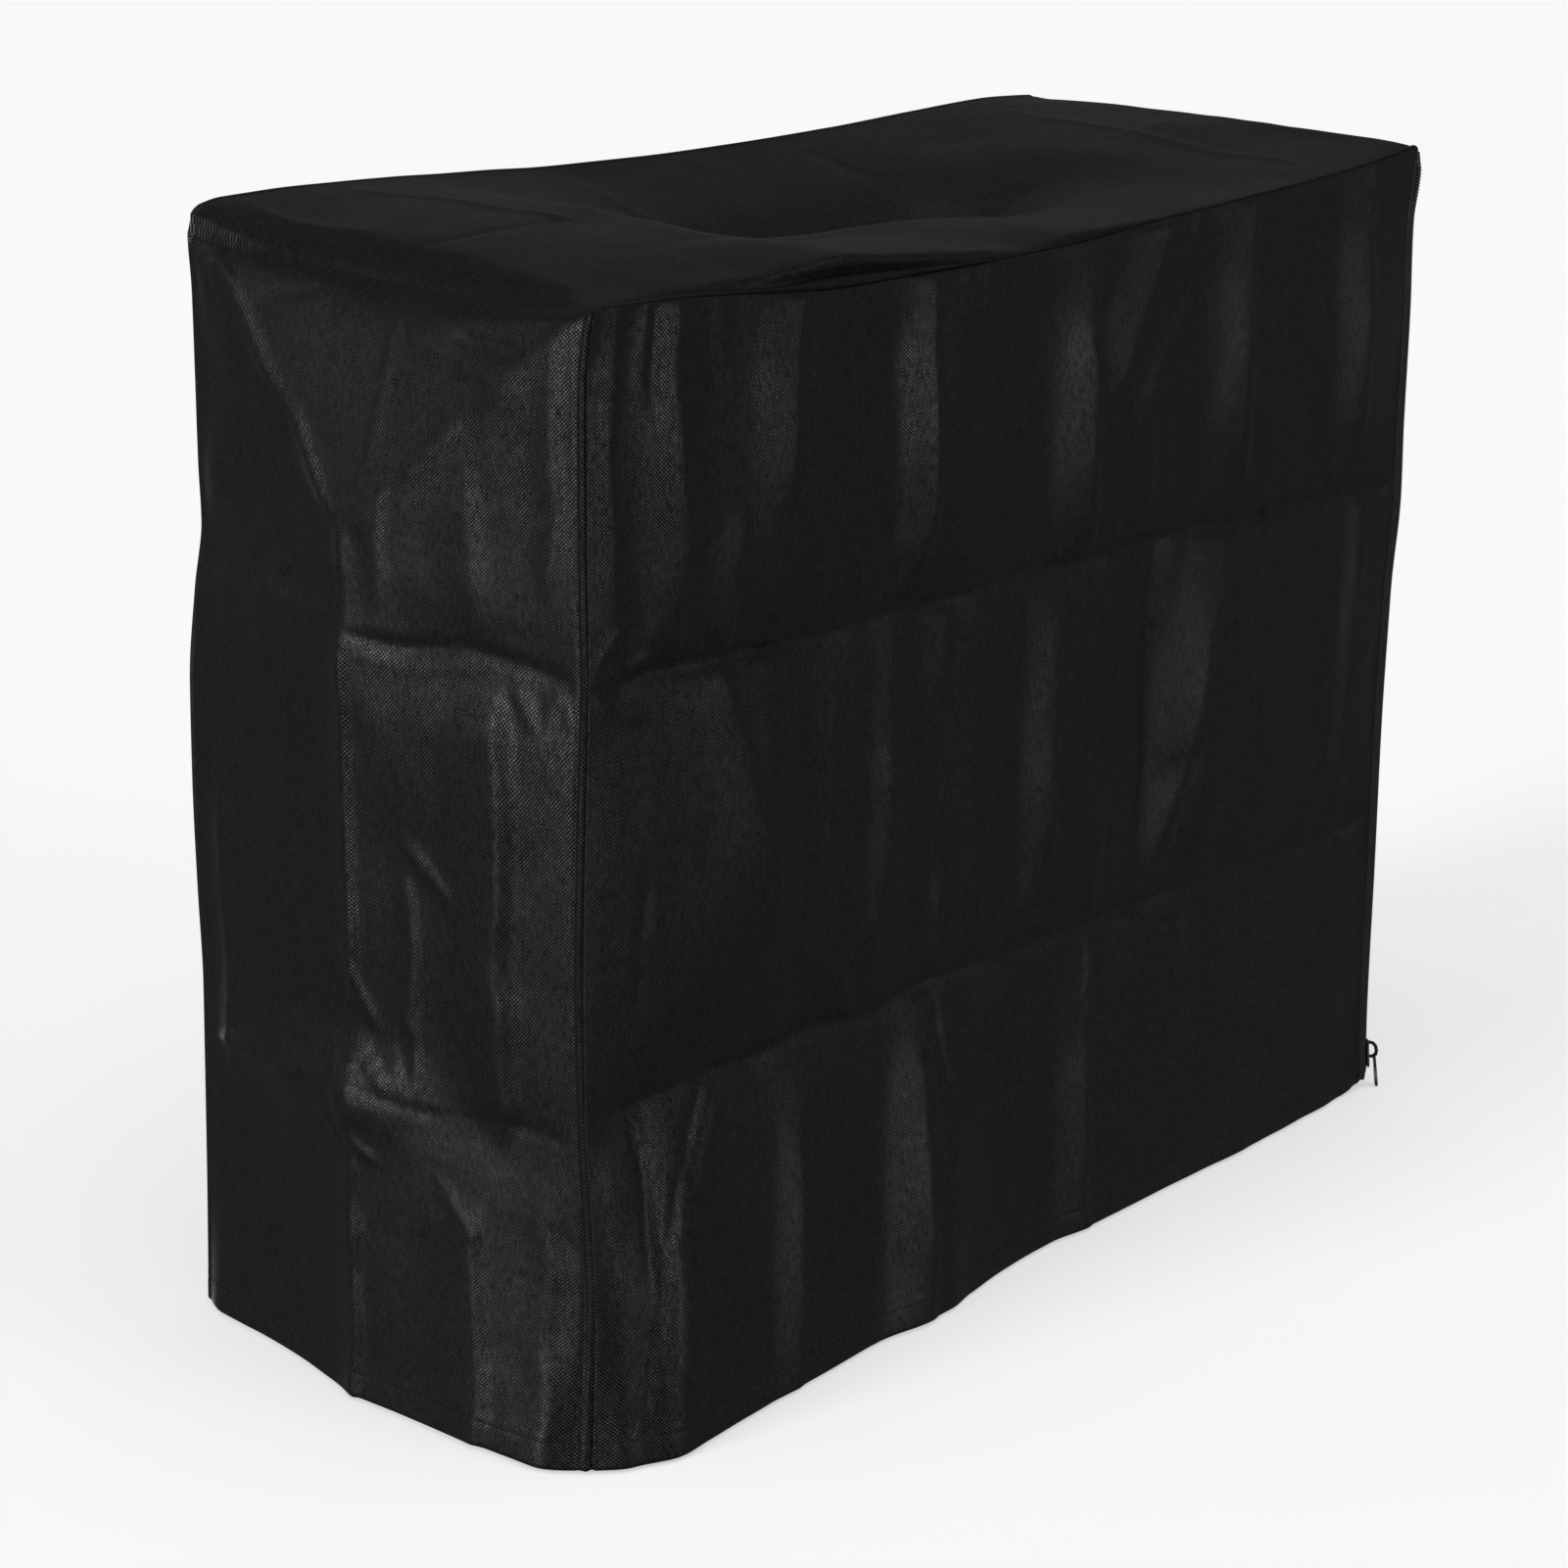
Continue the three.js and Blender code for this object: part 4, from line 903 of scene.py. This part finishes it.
def sheet_object(name, sheet, looks, left, right, top=None):
    """A closed thin sheet: a fine outer face, an inner face with every second line, and a rim.
    Its sewn edges are mitred: left, right and top are the ways that they face. A sheet with no
    sewn top has a hem there."""
    rows, columns = sheet.points.shape[:2]
    from_hem = sheet.qs[:, None] + np.zeros((1, columns))
    if top is None:
        from_hem = np.minimum(from_hem, sheet.qs[-1] - from_hem)
    thick = CLOTH + 0.9 * (1 - smooth((from_hem - HEM_DEPTH) / 2))
    inner = sheet.points - sheet.normals * thick[..., None]
    inner[:, 0] = sheet.points[:, 0] - CLOTH * left
    inner[:, -1] = sheet.points[:, -1] - CLOTH * right
    if top is not None:
        inner[-1] = sheet.points[-1] - CLOTH * top
    inner = inner[::2, ::2]
    vertices = np.concatenate([sheet.points.reshape(-1, 3), inner.reshape(-1, 3)])
    ids = np.arange(len(vertices))
    outer_id = ids[: rows * columns].reshape(rows, columns)
    inner_id = ids[rows * columns :].reshape(inner.shape[:2])

    def quads(face, turned):
        a, b, c, d = face[:-1, :-1], face[:-1, 1:], face[1:, 1:], face[1:, :-1]
        order = (a, d, c, b) if turned else (a, b, c, d)
        return np.stack(order, -1).reshape(-1, 4).tolist()

    def rim(outer, inside, turned):
        corners = [outer[:-2:2], inside[:-1], inside[1:], outer[2::2], outer[1::2]]
        found = np.stack(corners[::-1] if turned else corners, -1)
        return found.tolist()

    faces = quads(outer_id, False)
    outer_count = len(faces)
    faces += quads(inner_id, True)
    every = slice(None)
    for edge, turned in ((0, False), (-1, True), ((every, 0), True), ((every, -1), False)):
        faces += rim(outer_id[edge], inner_id[edge], turned)
    p, q = np.meshgrid(sheet.ps, sheet.qs)
    places = np.stack([p, q], -1)
    uvs = np.concatenate([places.reshape(-1, 2), places[::2, ::2].reshape(-1, 2)]) * MM
    made = mesh_object(name, vertices, faces, [looks["cloth"], looks["lining"]], uvs)
    kinds = np.ones(len(faces), dtype=np.int32)
    kinds[:outer_count] = 0
    made.data.polygons.foreach_set("material_index", kinds)
    return made


def linked(name, data):
    """A new object with this data, in the scene"""
    made = bpy.data.objects.new(name, data)
    bpy.context.collection.objects.link(made)
    return made


def shaded(mesh, sharp):
    """Shades a mesh smooth but for edges that turn by more than sharp degrees"""
    mesh.polygons.foreach_set("use_smooth", np.ones(len(mesh.polygons), dtype=bool))
    mesh.set_sharp_from_angle(angle=math.radians(sharp))


def mesh_of(name, points, faces, materials):
    """A mesh from points in mm"""
    mesh = bpy.data.meshes.new(name)
    mesh.from_pydata((np.asarray(points, float) * MM).tolist(), [], faces)
    for material in materials:
        mesh.materials.append(material)
    return mesh


def mesh_object(name, vertices, faces, materials, uvs=None):
    """A smooth-shaded object from points in mm above the hem"""
    placed = np.asarray(vertices, float) - (0, 0, MOUNT_HEIGHT)
    mesh = mesh_of(name, placed, faces, materials)
    shaded(mesh, SHARP_CLOTH)
    if uvs is not None:
        loops = np.empty(len(mesh.loops), dtype=np.int32)
        mesh.loops.foreach_get("vertex_index", loops)
        layer = mesh.uv_layers.new(name="cloth")
        layer.data.foreach_set("uv", uvs[loops].astype(np.float32).ravel())
    mesh.update()
    return linked(name, mesh)


class Parts:
    """Points and faces gathered from many small shapes"""

    def __init__(self):
        self.points, self.faces = [], []

    def tube(self, path, radii, sides=6, side_way=(0.31, 0.47, 0.83)):
        """A closed tube along a path, with a radius at each place"""
        path = [np.asarray(p, float) for p in path]
        start = len(self.points)
        for k, point in enumerate(path):
            before, after = path[max(0, k - 1)], path[min(len(path) - 1, k + 1)]
            way = (after - before) / np.linalg.norm(after - before)
            a = np.cross(way, side_way)
            a /= np.linalg.norm(a)
            b = np.cross(way, a)
            for s in range(sides):
                turn = 2 * math.pi * s / sides
                offset = math.cos(turn) * a + math.sin(turn) * b
                self.points.append(point + radii[k] * offset)
        for k in range(len(path) - 1):
            for s in range(sides):
                a, b = start + k * sides + s, start + k * sides + (s + 1) % sides
                self.faces.append([a, b, b + sides, a + sides])
        last = start + (len(path) - 1) * sides
        self.faces.append([start + s for s in reversed(range(sides))])
        self.faces.append([last + s for s in range(sides)])

    def stitches(self, place, start, end):
        """A row of stitches along a line: place gives the point at a distance, and above it"""
        count = int(abs(end - start) / STITCH_PITCH)
        step = (end - start) / count
        reach = step * STITCH_LENGTH / STITCH_PITCH
        shares = (0, 0.12, 0.5, 0.88, 1)
        heights = (-0.3, 0.12, 0.2, 0.12, -0.3)
        radii = [STITCH_RADIUS * r for r in (0.6, 1, 1.1, 1, 0.6)]
        for k in range(count):
            from_here = start + step * (k + 0.12)
            path = [place(from_here + reach * s, h) for s, h in zip(shares, heights)]
            self.tube(path, radii, sides=5)

    def made(self, name, material):
        return mesh_object(name, self.points, self.faces, [material])

    def loose(self, name, material):
        """The shapes as an object of their own, in their own places"""
        return linked(name, mesh_of(name, self.points, self.faces, [material]))


def zip_frame(z):
    """The middle of the coil at level z, and the ways across it and out of it"""
    turn = math.radians(float(reading(ZIP_EDGE, z, "turn")))
    out = np.array([math.sin(turn), -math.cos(turn), 0])
    across = np.array([math.cos(turn), math.sin(turn), 0])
    head_in = ZIP_HEAD_IN * float(smooth((z - HEIGHT + ZIP_EASE) / 11))
    foot_in = ZIP_FOOT_IN * float(smooth((9 - z) / 6))
    return zip_corner(z) - (TEETH_BACK + head_in + foot_in) * out, across, out


def zip_point(z, across, out, up=0):
    """A place beside the coil at level z: so far across it, out of it and up"""
    centre, across_way, out_way = zip_frame(z)
    return centre + across_way * across + out_way * out + np.array([0, 0, up])


def new_material(name):
    """A material, and a function that adds a node to it with its settings and what its inputs
    get: a value or a node's output, by the input's name or by its number after an i"""
    material = bpy.data.materials.new(name)
    material.use_nodes = True
    tree = material.node_tree
    tree.nodes.clear()

    def add(kind, settings=None, **inputs):
        made = tree.nodes.new(f"ShaderNode{kind}")
        for key, value in (settings or {}).items():
            setattr(made, key, value)
        for key, value in inputs.items():
            names = [s.name.replace(" ", "_").lower() for s in made.inputs]
            number = int(key[1:]) if key[1:].isdigit() else names.index(key)
            socket = made.inputs[number]
            if isinstance(value, bpy.types.NodeSocket):
                tree.links.new(value, socket)
            else:
                socket.default_value = value
        return made

    return material, add


def finished(add, colour, gloss, bump, **settings):
    """The surface, from the nodes of its colour, gloss and bump"""
    shader = add(
        "BsdfPrincipled",
        base_color=colour.outputs[2],
        roughness=gloss.outputs[0],
        normal=bump.outputs[0],
        **settings,
    )
    add("OutputMaterial", surface=shader.outputs[0])


def maths(add, operation, a, b=0.0, c=0.0):
    return add("Math", {"operation": operation}, i0=a, i1=b, i2=c).outputs[0]


def cloth_material(name, pitch, dark, light, rough, relief, gleam):
    """Plain weave from the cloth's own lengthwise and crosswise places. The crosswise threads'
    colour and glint are darkened: painted shade
    """
    material, add = new_material(name)
    uv = add("TexCoord").outputs["UV"]
    split = add("SeparateXYZ", i0=uv)
    wander = add("TexNoise", i0=uv, scale=120.0, detail=1.0).outputs[0]
    shift = maths(add, "MULTIPLY_ADD", wander, 0.5, -0.25)
    u = maths(add, "MULTIPLY_ADD", split.outputs[0], 1000 / pitch, shift)
    v = maths(add, "MULTIPLY_ADD", split.outputs[1], 1000 / pitch, shift)
    wave_u = maths(add, "SINE", maths(add, "MULTIPLY", u, math.pi))
    wave_v = maths(add, "SINE", maths(add, "MULTIPLY", v, math.pi))
    over = maths(add, "GREATER_THAN", maths(add, "MULTIPLY", wave_u, wave_v), 0.0)
    round_u = maths(add, "ABSOLUTE", wave_u)
    round_v = maths(add, "ABSOLUTE", wave_v)

    def thread(crosswise, lengthwise):
        arch = maths(add, "MULTIPLY_ADD", lengthwise, 0.65, 0.35)
        return maths(add, "MULTIPLY", crosswise, arch)

    def own(a, b, seed):
        place = add(
            "CombineXYZ",
            i0=maths(add, "MULTIPLY", maths(add, "FLOOR", a), 3.7),
            i1=maths(add, "MULTIPLY", b, 0.2),
            i2=seed,
        ).outputs[0]
        return add("TexNoise", i0=place, scale=1.0, detail=2.0).outputs[0]

    height = add("Mix", i0=over, i2=thread(round_v, round_u), i3=thread(round_u, round_v))
    tone = add("Mix", i0=over, i2=own(v, u, 5.0), i3=own(u, v, 1.0)).outputs[0]
    # Painted shade: the crosswise threads' colour is darkened to a share of the lengthwise threads'
    side = maths(add, "MULTIPLY_ADD", over, 1 - CROSSWISE_PAINTED_SHADE, CROSSWISE_PAINTED_SHADE)
    shade = maths(add, "MULTIPLY", tone, side)
    colour = add("Mix", {"data_type": "RGBA"}, i0=shade, i6=(*dark, 1), i7=(*light, 1))
    bright = add("MapRange", i0=tone, i1=0.3, i2=0.7, i3=0.25, i4=1.0).outputs[0]
    # Painted shade on the glint: the crosswise threads keep only a share of the lengthwise threads'
    # glint, through the specular tint
    facing = maths(add, "MULTIPLY_ADD", over, 1 - CROSSWISE_PAINTED_GLINT, CROSSWISE_PAINTED_GLINT)
    tone_and_painted_glint = maths(add, "MULTIPLY", bright, facing)
    glint = add("CombineColor", i0=tone_and_painted_glint, i1=tone_and_painted_glint, i2=tone_and_painted_glint).outputs[0]
    rougher, smoother = rough + 0.06, rough - 0.06
    gloss = add("MapRange", i0=tone, i1=0.2, i2=0.8, i3=rougher, i4=smoother)
    bump = add("Bump", strength=1.0, distance=relief * MM, height=height.outputs[0])
    finished(add, colour, gloss, bump, specular_ior_level=gleam, specular_tint=glint)
    return material


def plain_material(name, dark, light, rough, metallic=0.0):
    """A smooth finish with slight wear: colour, roughness and bump from one noise"""
    material, add = new_material(name)
    place = add("TexCoord").outputs["Object"]
    grain = add("TexNoise", i0=place, scale=900.0, detail=4.0).outputs[0]
    colour = add("Mix", {"data_type": "RGBA"}, i0=grain, i6=(*dark, 1), i7=(*light, 1))
    gloss = add("MapRange", i0=grain, i1=0.3, i2=0.7, i3=rough * 0.8, i4=rough * 1.2)
    bump = add("Bump", strength=0.5, distance=0.02 * MM, height=grain)
    finished(add, colour, gloss, bump, metallic=metallic, specular_ior_level=0.5)
    return material


def belongs(piece, slot, *nodes):
    """Attaches a piece to the root body, and hides the CAD nodes that it stands for, if any.
    Its slot is not used.
    """
    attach(piece, "root")
    if nodes:
        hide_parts(*nodes)
    return piece


def make_cloth(looks):
    front, back, strip = front_sheet(), back_sheet(), strip_sheet()
    front_top = FRONT + seam_facing(TOP_MIDDLE + front.ps)
    back_top = BACK + seam_facing(TOP_MIDDLE + back.ps[::-1])
    seams = seam_facing(strip.qs)
    for name, node, cut, sheet, *edges in (
        ("front_cloth", "front_panel", PANEL_CUT, front, FRONT + LEFT, FRONT, front_top),
        ("back_cloth", "back_panel", PANEL_CUT, back, BACK + RIGHT, BACK + LEFT, back_top),
        ("strip_cloth", "gusset_strip", STRIP_CUT, strip, BACK + seams, FRONT + seams),
    ):
        piece = belongs(sheet_object(name, sheet, looks, *edges), "cloth", node)
    return front, back, strip


def make_stitching(front, back, strip, looks):
    """A line of stitches round the hem, and one on either side of the zip, up to the seams"""
    parts = Parts()
    parts.stitches(lambda x, h: front.at(x, STITCH_LEVEL, h), -253, 251)
    parts.stitches(lambda x, h: back.at(-x, STITCH_LEVEL, h), -253, 253)
    parts.stitches(lambda y, h: strip.at(y, STITCH_LEVEL, h), -208, -2)
    parts.stitches(lambda y, h: strip.at(y, STRIP_END - STITCH_LEVEL, h), -208, -3)
    parts.stitches(lambda z, h: front.at(HALF_LENGTH - ZIP_STITCH_IN, z, h), 12, 424)
    parts.stitches(lambda z, h: strip.at(-ZIP_STITCH_IN, STRIP_END - z, h), 12, 420)
    belongs(parts.made("hem_stitches", looks["thread"]), "cloth")


def tape_object(name, material, section):
    """A zip tape: a thin ribbon through a section's places, level by level"""
    levels = np.linspace(ZIP_FOOT, ZIP_HEAD, 120)
    vertices, faces, uvs = [], [], []
    for z in levels:
        line = np.array(section(z))
        side = np.cross(np.gradient(line, axis=0), [0, 0, 1.0])
        side /= np.linalg.norm(side, axis=1, keepdims=True)
        run = np.concatenate([[0], np.cumsum(np.linalg.norm(np.diff(line, axis=0), axis=1))])
        for offset in (TAPE_THICK / 2, -TAPE_THICK / 2):
            vertices.extend(line + side * offset)
            uvs.extend((place * MM, z * MM) for place in run)
    size = len(vertices) // len(levels)
    ring = [*range(size // 2), *range(size - 1, size // 2 - 1, -1)]
    last = len(vertices) - size
    for low in range(0, last, size):
        for a, b in zip(ring, ring[1:] + ring[:1]):
            faces.append([low + a, low + b, low + size + b, low + size + a])
    faces.append(ring[::-1])
    faces.append([last + a for a in ring])
    return mesh_object(name, vertices, faces, [material], np.array(uvs))


def tape_section(z, side, edge, inside):
    """A tape's places at level z, from the coil to its own edge inside the cover"""
    outside = [zip_point(z, side * across, out) for across, out in TAPE_OUTSIDE]
    return outside + [edge + (x, y, 0) for x, y in inside]


def make_tapes(looks):
    def front(z):
        return tape_section(z, -1, panel_right(z), FRONT_TAPE_INSIDE)

    def side(z):
        edge = strip_point(STRIP_END - z, 0)
        return tape_section(z, 1, edge, SIDE_TAPE_INSIDE)

    for node, section in (("zip_tape_front", front), ("zip_tape_side", side)):
        piece = belongs(tape_object(f"{node}_cloth", looks["tape"], section), "tape", node)


def make_coil(looks):
    """The closed coil: half turns from either side in turn, each hooked over the last"""
    coil = Parts()
    for k in range(int((ZIP_HEAD - ZIP_FOOT) / COIL_PITCH * 2)):
        z = ZIP_FOOT + COIL_START + k * COIL_PITCH / 2
        side = -1 if k % 2 else 1
        path = [zip_point(z, side * across, out, up) for across, out, up, _ in COIL_TURN]
        coil.tube(path, [radius for *_, radius in COIL_TURN])
    belongs(coil.made("zip_coil", looks["nylon"]), "nylon", "zip_teeth")


def rounded_block(name, outline, thick, material, bevel=PLATE_BEVEL):
    """A plate from an outline of (across, up) places, with rounded edges"""
    vertices = [(a, side * thick / 2, u) for side in (-1, 1) for a, u in outline]
    count = len(outline)
    faces = [list(range(count)), list(range(2 * count - 1, count - 1, -1))]
    faces += [[k, k + count, (k + 1) % count + count, (k + 1) % count] for k in range(count)]
    made = linked(name, mesh_of(name, vertices, faces, [material]))
    edge = made.modifiers.new("edge", "BEVEL")
    edge.width = bevel * MM
    edge.segments = 3
    edge.limit_method = "ANGLE"
    edge.angle_limit = math.radians(40)
    return made


def joined(name, objects):
    """Several objects as one, with their meshes in place and their edges rounded"""
    bpy.context.view_layer.update()
    tone_and_painted_glint = bpy.context.evaluated_depsgraph_get()
    points, faces = [], []
    for piece in objects:
        start = len(points)
        mesh = piece.evaluated_get(tone_and_painted_glint).data
        points += [tuple(piece.matrix_world @ v.co) for v in mesh.vertices]
        faces += [[start + v for v in polygon.vertices] for polygon in mesh.polygons]
    mesh = bpy.data.meshes.new(name)
    mesh.from_pydata(points, [], faces)
    mesh.materials.append(objects[0].data.materials[0])
    shaded(mesh, SHARP_METAL)
    for piece in objects:
        bpy.data.objects.remove(piece)
    return linked(name, mesh)


def zip_matrix(z):
    """The place and turn of a thing on the coil whose foot is at level z"""
    centre, across, out = zip_frame(z)
    up = zip_frame(z + SLIDER_LENGTH)[0] - centre
    up /= np.linalg.norm(up)
    place = (centre - (0, 0, MOUNT_HEIGHT)) * MM
    return Matrix([*zip(across, -out, up, place), (0, 0, 0, 1)])


def make_slider(looks):
    """Two plates either side of the coil, the post between them and the bridge for the pull"""
    metal = looks["black_metal"]
    narrow = [(a * BACK_PLATE_SHARE, u) for a, u in SLIDER_OUTLINE]
    front = rounded_block("slider_front", SLIDER_OUTLINE, FRONT_PLATE_THICK, metal)
    back = rounded_block("slider_back", narrow, BACK_PLATE_THICK, metal)
    post = rounded_block("slider_post", POST_OUTLINE, POST_DEPTH, metal, PLATE_BEVEL / 2)
    front.location.y = -FRONT_PLATE_OUT * MM
    back.location.y = BACK_PLATE_IN * MM
    arch = Parts()
    path = [(0, out, up) for out, up in BRIDGE_PATH]
    arch.tube(path, [BRIDGE_RADIUS] * len(path), 8, RIGHT)
    bridge = arch.loose("slider_bridge", metal)
    slider = joined("zip_slider_metal", [front, back, post, bridge])
    slider.data.transform(zip_matrix(SLIDER_FOOT))
    belongs(slider, "black_metal", "zip_slider")


def make_pull(looks):
    """A plain tab and the eye that hangs it on the bridge"""
    steel = looks["steel"]
    tab = rounded_block("pull_tab", PULL_OUTLINE, PULL_THICK, steel)
    eye = Parts()
    around = []
    for k in range(EYE_STEPS + 1):
        turn = 2 * math.pi * k / EYE_STEPS
        high = EYE_HALF_HEIGHT * math.cos(turn) - EYE_BELOW
        around.append((EYE_HALF_WIDTH * math.sin(turn), 0, high))
    eye.tube(around, [EYE_RADIUS] * len(around), 8, BACK)
    pull = joined("zip_pull_metal", [tab, eye.loose("pull_eye", steel)])
    hang = Matrix.Rotation(math.radians(PULL_TILT), 4, "X")
    at_bridge = Matrix.Translation(Vector(PULL_HANGS_AT) * MM)
    pull.data.transform(zip_matrix(SLIDER_FOOT) @ at_bridge @ hang)
    belongs(pull, "steel", "zip_pull")


def make_looks():
    """The materials, each from its dark and light tones and its roughness. A cloth also has the
    pitch of its threads, their relief and how much they gleam."""

    def grey(tone):
        return (tone, tone, tone)

    outside = ((0.0015, 0.0015, 0.0015), (0.0135, 0.0135, 0.0138), 0.42, 0.015, 0.7)
    inside = (grey(0.003), grey(0.007), 0.45, 0.015, 0.3)
    return {
        "cloth": cloth_material("woven_cloth", THREAD_PITCH, *outside),
        "lining": cloth_material("cloth_inside", THREAD_PITCH, *inside),
        "tape": cloth_material("zip_tape_weave", 0.5, grey(0.012), grey(0.05), 0.5, 0.02, 0.4),
        "thread": plain_material("sewing_thread", grey(0.01), grey(0.02), 0.5),
        "nylon": plain_material("zip_nylon", grey(0.03), grey(0.05), 0.3),
        "black_metal": plain_material("black_enamel", grey(0.008), grey(0.02), 0.3, 0.3),
        "steel": plain_material("plated_steel", grey(0.06), grey(0.1), 0.3, 1.0),
    }


def direction(azimuth, elevation):
    """The way to something so many degrees round from the front and so many up"""
    az, el = math.radians(azimuth), math.radians(elevation)
    return Vector((math.sin(az) * math.cos(el), -math.cos(az) * math.cos(el), math.sin(el)))


def make_camera():
    back = direction(CAMERA_AZIMUTH, CAMERA_ELEVATION)
    right = (-back).cross(Vector((0, 0, 1))).normalized()
    up = right.cross(-back).normalized()
    roll = math.radians(CAMERA_ROLL)
    side = right * math.cos(roll) + up * math.sin(roll)
    top = up * math.cos(roll) - right * math.sin(roll)
    data = bpy.data.cameras.new("camera")
    data.lens = CAMERA_LENS
    data.sensor_width = CAMERA_SENSOR
    data.sensor_fit = "HORIZONTAL"
    data.clip_end = 100
    camera = linked("camera", data)
    place = (Vector(CAMERA_AT) - Vector((0, 0, MOUNT_HEIGHT))) * MM
    camera.matrix_world = Matrix([*zip(side, top, back, place), (0, 0, 0, 1)])
    bpy.context.scene.camera = camera


def make_floor():
    """The pale ground that the cover stands on"""
    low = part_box("zip_pull")[0][2]
    turns = ((-1, -1), (1, -1), (1, 1), (-1, 1))
    corners = [(x * FLOOR_HALF, y * FLOOR_HALF, low) for x, y in turns]
    mesh = bpy.data.meshes.new("floor")
    mesh.from_pydata(corners, [], [[0, 1, 2, 3]])
    material, add = new_material("pale_floor")
    shader = add(
        "BsdfPrincipled",
        base_color=(FLOOR_TONE, FLOOR_TONE, FLOOR_TONE, 1),
        roughness=0.8,
        specular_ior_level=0.1,
        emission_color=(1, 1, 1, 1),
        emission_strength=FLOOR_GLOW,
    )
    add("OutputMaterial", surface=shader.outputs[0])
    mesh.materials.append(material)
    floor = linked("floor", mesh)
    floor.visible_diffuse = False
    floor.visible_glossy = False
    floor.visible_shadow = False


def make_light(name, azimuth, elevation, strength, angle):
    data = bpy.data.lights.new(name, "SUN")
    data.energy = strength
    data.angle = math.radians(angle)
    light = linked(name, data)
    way = direction(azimuth, elevation)
    light.rotation_euler = way.to_track_quat("Z", "Y").to_euler()
    light.location = way * 3


def make_lights():
    for name, (azimuth, elevations, strength, angle) in TALL_LIGHTS.items():
        for k, elevation in enumerate(elevations):
            make_light(f"{name}_{k + 1}", azimuth, elevation, strength, angle)
    make_light("top_light", *TOP_LIGHT)


def make_world():
    world = bpy.data.worlds.new("studio")
    bpy.context.scene.world = world
    world.use_nodes = True
    background = world.node_tree.nodes["Background"]
    background.inputs["Color"].default_value = (1, 1, 1, 1)
    background.inputs["Strength"].default_value = SKY_STRENGTH


make_camera()
looks = make_looks()
front, back, strip = make_cloth(looks)
make_stitching(front, back, strip, looks)
make_tapes(looks)
make_coil(looks)
make_slider(looks)
make_pull(looks)
make_floor()
make_lights()
make_world()
bpy.context.scene.view_settings.view_transform = "Standard"
